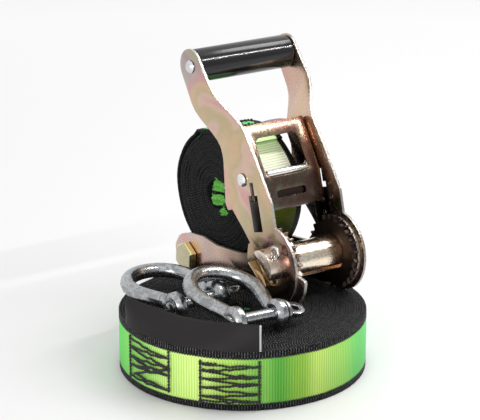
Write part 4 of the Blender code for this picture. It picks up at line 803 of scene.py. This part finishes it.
# The drive pawl is painted near black where it sits down in the slot, as painted shade, and near white at its
# finger roll on top, as a painted highlight.
PAWL_TINTS = ((1.0, 1.0, 0.97), (0.96, 0.94, 0.90))
pawl_zinc = passivated("pawl_zinc", PAWL_TINTS, cloud=30.0, sparkle=0.05, painted_light_fades=[
    (PAWL_FOOT, PAWL_UP, PAWL_LENGTH, [
        (0.0, (0.006, 0.005, 0.004)), (0.30, (0.008, 0.007, 0.006)), (0.78, (0.10, 0.07, 0.06)),
        (0.86, (1.0, 1.0, 1.0)), (1.0, (1.0, 1.0, 1.0)),
    ]),
])
dressed("drive_pawl", SHEET_EDGE, "drive_pawl_body", (pawl_zinc,))

# The clinch rings: the press that folds the web also clinches it to the plate, and each clinch leaves a
# small raised ring of the same steel. They stand in two short rows.

RING_RADIUS, RING_WIRE = 0.0017, 0.00045
CLINCH_PLACES = (
    (-0.0107, 0.0889, 0.1359), (-0.0077, 0.0889, 0.1243), (-0.0047, 0.0889, 0.1135),
    (-0.0018, 0.0913, 0.1396), (0.0012, 0.0913, 0.1281),
)
UMBER = (0.17, 0.11, 0.08)
brown_zinc = passivated("brown_zinc", (UMBER, (0.22, 0.14, 0.10), UMBER, SOOT), roughness=0.26, cloud=22.0)


def rings_tree():
    """Geometry Nodes: one raised ring on each point of a mesh, facing across the part."""
    tree, given, result = new_tree("clinch_rings", ("Radius", "Wire"))
    rim = node(tree, "GeometryNodeCurvePrimitiveCircle", {
        "Resolution": 16, "Radius": given.outputs["Radius"],
    })
    bead = node(tree, "GeometryNodeCurvePrimitiveCircle", {"Resolution": 8, "Radius": given.outputs["Wire"]})
    ring = node(tree, "GeometryNodeCurveToMesh", {
        "Curve": rim.outputs["Curve"], "Profile Curve": bead.outputs["Curve"],
    })
    set_out = node(tree, "GeometryNodeInstanceOnPoints", {
        "Points": given.outputs["Geometry"], "Instance": ring.outputs["Mesh"],
        "Rotation": (math.pi / 2, 0, 0),
    })
    real = node(tree, "GeometryNodeRealizeInstances", {"Geometry": set_out.outputs["Instances"]})
    plated = node(tree, "GeometryNodeSetMaterial", {
        "Geometry": real.outputs["Geometry"], "Material": given.outputs["Material"],
    })
    tree.links.new(plated.outputs["Geometry"], result.inputs["Geometry"])
    return tree


ring_points = bpy.data.meshes.new("clinch_points")
ring_points.from_pydata([Vector(place) for place in CLINCH_PLACES], [], [])
rings = grown("clinch_rings", rings_tree(), ring_points, {
    "Radius": RING_RADIUS, "Wire": RING_WIRE, "Material": brown_zinc,
})
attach(rings, "handle")

# The grip: a glossy black plastic tube that turns on the steel rod between the ends of the handle plates. Its
# skin has the faint orange peel of moulded plastic.

grip_black, tree, output = new_material("grip_black")
grip_place = node(tree, "ShaderNodeTexCoord")
orange_peel = node(tree, "ShaderNodeTexNoise", {
    "Vector": grip_place.outputs["Object"], "Scale": 260.0, "Detail": 2.0,
})
skin = node(tree, "ShaderNodeBump", {
    "Height": orange_peel.outputs["Fac"], "Strength": 0.12, "Distance": 0.0004,
})
close_material(
    tree, output, Base_Color=(0.006, 0.006, 0.007, 1), Roughness=0.16, Normal=skin.outputs["Normal"],
)
dressed("grip_tube", BAR_EDGE, "grip", (grip_black,))

# The short strap: the ratchet's own length of the same webbing, sewn round the clamp sleeve, wound up and
# stood in the frame under the handle. Its turns lie a little flat towards the bolt, and the last one has a
# small ridge.

STRAP_RADIUS = 0.0575
STRAP_CORE = 0.011
STRAP_TURNS = 21
STRAP_LOOP_POINTS = 56
STRAP_END = math.radians(276)
STRAP_RIPPLE, STRAP_SEED = 0.0009, 7.7
SLACK, SLACK_FROM, SLACK_RISE, SLACK_TO, SLACK_FALL = 0.0034, 118, 26, 250, 9
RIDGE, RIDGE_AT, RIDGE_SPREAD = 0.0022, 243, 3.5
strap_low, strap_high = (Vector(corner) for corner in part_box("strap_roll"))
STRAP_CENTRE = (strap_low + strap_high) / 2
STRAP_YAW = math.radians(3)
# The strap's green round its roll, with painted light and shade: near white and yellow where the light falls
# through the window, dark olive and brown where it lies in shade.
STRAP_GREEN_AND_PAINTED_LIGHT = (
    (0.0, (0.16, 0.50, 0.09)), (0.07, (0.24, 0.30, 0.03)), (0.16, (0.50, 0.22, 0.01)),
    (0.25, (0.08, 0.11, 0.01)), (0.40, (0.18, 0.22, 0.02)), (0.46, (1.0, 1.0, 0.42)),
    (0.56, (1.0, 1.0, 0.80)), (0.75, (0.70, 1.0, 0.46)), (0.82, (0.20, 0.76, 0.28)),
    (1.0, (0.22, 0.74, 0.24)),
)
STRAP_TINT_ANGLES = (math.radians(-75), math.radians(115))
strap_turned = Matrix.Rotation(STRAP_YAW, 3, "Z")
strap_along, strap_across = strap_turned @ Vector(ALONG), strap_turned @ Vector(ACROSS)
strap_webbing = webbing_material(
    "strap_webbing", STRAP_GREEN_AND_PAINTED_LIGHT, STRAP_TINT_ANGLES, STRAP_CENTRE, strap_along, UP,
)
strap_spot = Matrix.Translation(STRAP_CENTRE) @ Matrix.Rotation(STRAP_YAW, 4, "Z")
strap_flat = wound_path(STRAP_CORE, STRAP_RADIUS, STRAP_TURNS, STRAP_LOOP_POINTS, STRAP_END)
strap_path = []
for index, (x, z) in enumerate(strap_flat):
    around = math.degrees(math.atan2(z, x)) % 360
    distance = math.hypot(x, z)
    if index >= len(strap_flat) - STRAP_LOOP_POINTS:
        shift = RIDGE * math.exp(-((around - RIDGE_AT) / RIDGE_SPREAD) ** 2)
    else:
        window = max(0.0, min(1.0, (around - SLACK_FROM) / SLACK_RISE, (SLACK_TO - around) / SLACK_FALL))
        window = window * window * (3 - 2 * window)
        shift = -SLACK * window * (distance / STRAP_RADIUS) ** 3
    grow = 1 + shift / max(distance, STRAP_CORE)
    strap_path.append(strap_spot @ Vector((x * grow, -WEBBING_WIDTH / 2, -z * grow)))
strap_roll, strap_length = ribbon(
    "wound_strap", strap_path, tuple(strap_across), WEBBING_WIDTH, WEBBING_THICKNESS,
    STRAP_RIPPLE, STRAP_SEED,
)
strap_roll.data.materials.append(strap_webbing)
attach(strap_roll, "small_roll")
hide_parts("strap_roll")

# The folds: the strap's inner end was crumpled before it was wound, so that its green face swells out of the
# core, where the rest of the roll shows only its black edge.

FOLD_TINTS = ((0.0, (0.06, 0.26, 0.03)), (0.5, (0.14, 0.46, 0.08)), (1.0, (0.08, 0.30, 0.05)))
fold_green = webbing_material("fold_green", FOLD_TINTS, (-math.pi, math.pi), STRAP_CENTRE, strap_along, UP)
FOLDS = (
    ((-0.0065, 0.0190), (-0.0100, 0.0050), (-0.0040, 0.0600), 0.0030, 1.0),
    ((-0.0040, 0.0200), (0.0020, 0.0150), (-0.0030, 0.0420), 0.0022, 2.3),
    ((0.0050, 0.0190), (-0.0160, -0.0085), (0.0010, 0.0400), 0.0014, 4.1),
)
FOLD_ROWS, FOLD_COLUMNS = 16, 20
FOLD_WIDTH, FOLD_THICKNESS = 0.028, 0.0014
FOLD_DEPTH, FOLD_LEAN = 0.0035, 0.0020
CREASE_SIDE, CREASE_UP, CREASE_OUT = 0.0020, 0.0016, 0.0036
made = bmesh.new()
fold_layer = made.loops.layers.uv.new("weave")
for (left, right), (bottom, top), (inner, outer), swell, seed in FOLDS:
    grid = []
    for i in range(FOLD_COLUMNS + 1):
        share = i / FOLD_COLUMNS
        column = []
        for j in range(FOLD_ROWS + 1):
            rise = j / FOLD_ROWS
            hump = math.sin(math.pi * min(1.0, share * 1.15) ** 0.7) * math.sin(math.pi * rise) ** 0.6
            crease = noise.noise(Vector((share * 3.1, rise * 4.5, seed)))
            crease += 0.6 * noise.noise(Vector((share * 8.0, rise * 11.0, seed + 5)))
            x = left + (right - left) * share + crease * CREASE_SIDE + rise * FOLD_LEAN
            z = bottom + (top - bottom) * rise + noise.noise(Vector((share * 4, seed, rise))) * CREASE_UP
            y = -WEBBING_WIDTH / 2 + FOLD_DEPTH - (swell + FOLD_DEPTH) * hump + crease * CREASE_OUT
            column.append(made.verts.new(strap_spot @ Vector((x, y, z))))
        grid.append(column)
    fill_grid(made, grid, fold_layer, lambda a, b: (a * FOLD_WIDTH, inner + (outer - inner) * b))
bmesh.ops.recalc_face_normals(made, faces=made.faces)
fold_area = sum(face.calc_area() for face in made.faces)
fold_mesh = bpy.data.meshes.new("strap_fold")
made.to_mesh(fold_mesh)
made.free()
fold_mesh.shade_smooth()
fold_mesh.materials.append(fold_green)
fold = in_scene("strap_fold", fold_mesh)
thicken = fold.modifiers.new("thickness", "SOLIDIFY")
thicken.thickness = FOLD_THICKNESS
thicken.offset = 0
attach(fold, "small_roll")

# The strap's outer end: black thread is sewn over it in two zigzags across its width, the second a little
# aslant. Each turn of the thread is given in millimetres across and degrees round the roll.

ZIGZAG_STEPS = 4
THREAD_LIFT = 0.0004
STRAP_ZIGZAGS = (
    tuple((40 + k * 2.6, 107 if k % 2 else 101) for k in range(15)),
    tuple((38 + k * 3.0, (95 if k % 2 else 90) - k * 0.7) for k in range(13)),
)
for index, zigzag in enumerate(STRAP_ZIGZAGS):
    verts, edges = [], []
    for (y0, a0), (y1, a1) in zip(zigzag, zigzag[1:]):
        for k in range(ZIGZAG_STEPS + 1):
            share = k / ZIGZAG_STEPS
            y, angle = (y0 + (y1 - y0) * share) / 1000, math.radians(a0 + (a1 - a0) * share)
            distance = STRAP_RADIUS + THREAD_LIFT
            verts.append((
                STRAP_CENTRE.x + distance * math.cos(angle), y, STRAP_CENTRE.z + distance * math.sin(angle),
            ))
            if k:
                edges.append((len(verts) - 2, len(verts) - 1))
    sewn = bpy.data.meshes.new("strap_stitch_path")
    sewn.from_pydata(verts, edges, [])
    sewing = grown(f"strap_stitches_{index + 1}", STITCHES, sewn, {
        "Pitch": STITCH_PITCH, "Thread": THREAD_RADIUS, "Material": thread,
    })
    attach(sewing, "small_roll")

# The tongue: a short end of black webbing, cut and left loose, painted grey as the sheen of grazing light on
# it. It starts on top of the roll and reaches out past its far edge, with a shallow arch and a drooping tip.

TONGUE_WIDTH, TONGUE_THICKNESS = 0.016, 0.0016
TONGUE_FROM, TONGUE_REACH = (-0.0790, 0.0745), (0.004, 0.0300)
TONGUE_ARCH, TONGUE_DROOP, TONGUE_STEPS = 0.0016, 0.0022, 12
TONGUE_RIPPLE, TONGUE_SEED = 0.0008, 2.2
tongue_path = []
for k in range(TONGUE_STEPS + 1):
    share = k / TONGUE_STEPS
    lift = THREAD_LIFT + TONGUE_ARCH * math.sin(share * 2.6) - TONGUE_DROOP * share ** 3
    tongue_path.append((
        TONGUE_FROM[0] + TONGUE_REACH[0] * share, TONGUE_FROM[1] + TONGUE_REACH[1] * share,
        STRAP_CENTRE.z + STRAP_RADIUS + lift,
    ))
tongue, tongue_length = ribbon(
    "strap_tongue", tongue_path, (1, 0.1, -0.10), TONGUE_WIDTH, TONGUE_THICKNESS, TONGUE_RIPPLE, TONGUE_SEED,
)
tongue_sheen, tree, output = new_material("tongue_sheen")
tongue_place = node(tree, "ShaderNodeUVMap", uv_map="weave")
tongue_grain = node(tree, "ShaderNodeTexNoise", {
    "Vector": tongue_place.outputs["UV"], "Scale": 420.0, "Detail": 3.0,
})
# Painted sheen: the black webbing is coloured mottled grey, as grazing light makes it look.
tongue_sheen_tone = node(tree, "ShaderNodeValToRGB", {"Fac": tongue_grain.outputs["Fac"]})
stops_of(tongue_sheen_tone.color_ramp, [(0.35, (0.09, 0.09, 0.092)), (0.65, (0.42, 0.415, 0.41))])
tongue_bump = node(tree, "ShaderNodeBump", {
    "Height": tongue_grain.outputs["Fac"], "Strength": 0.5, "Distance": 0.0004,
})
close_material(
    tree, output, Base_Color=tongue_sheen_tone.outputs["Color"], Roughness=0.6,
    Normal=tongue_bump.outputs["Normal"],
)
tongue.data.materials.append(tongue_sheen)
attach(tongue, "small_roll")

# The strap's eye: the ratchet end of the strap passes once round the clamp sleeve and is sewn back on
# itself, so that the bolt holds it in the frame.

BOLT_X, BOLT_Z = DRUM_X - BOLT_REACH, 0.0556
SLEEVE_RADIUS, EYE_SLACK = 0.0095, 0.0003
LOOP_RADIUS = SLEEVE_RADIUS + EYE_SLACK + WEBBING_THICKNESS / 2
LOOP_FROM, LOOP_SWEEP, LOOP_STEPS = 60, 320, 40
loop_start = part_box("strap_loop")[0].y
loop_path = []
for k in range(LOOP_STEPS + 1):
    angle = math.radians(LOOP_FROM + LOOP_SWEEP * k / LOOP_STEPS)
    loop_path.append((
        BOLT_X + LOOP_RADIUS * math.cos(angle), loop_start, BOLT_Z + LOOP_RADIUS * math.sin(angle),
    ))
strap_loop, loop_length = ribbon("strap_eye", loop_path, ACROSS, WEBBING_WIDTH, WEBBING_THICKNESS)
strap_loop.data.materials.append(strap_webbing)
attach(strap_loop, "ratchet_frame")
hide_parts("strap_loop")

# The shackles: two forged bow shackles, hot-dip galvanised to a dull spangled grey. Each has a screw pin
# with a flat eye that is turned by hand.

FORGED_EDGE = 0.0005
GALVANISED_TINTS = ((0.40, 0.41, 0.42), (0.31, 0.32, 0.33), (0.44, 0.45, 0.46), (0.28, 0.29, 0.30))
galvanised = passivated("galvanised", GALVANISED_TINTS, roughness=0.24, cloud=95.0, sparkle=0.10)
for letter in ("a", "b"):
    bow = dressed(f"shackle_bow_{letter}", FORGED_EDGE, f"shackle_{letter}", (galvanised,))
    pin = dressed(f"shackle_pin_{letter}", FORGED_EDGE, f"pin_{letter}", (galvanised,))
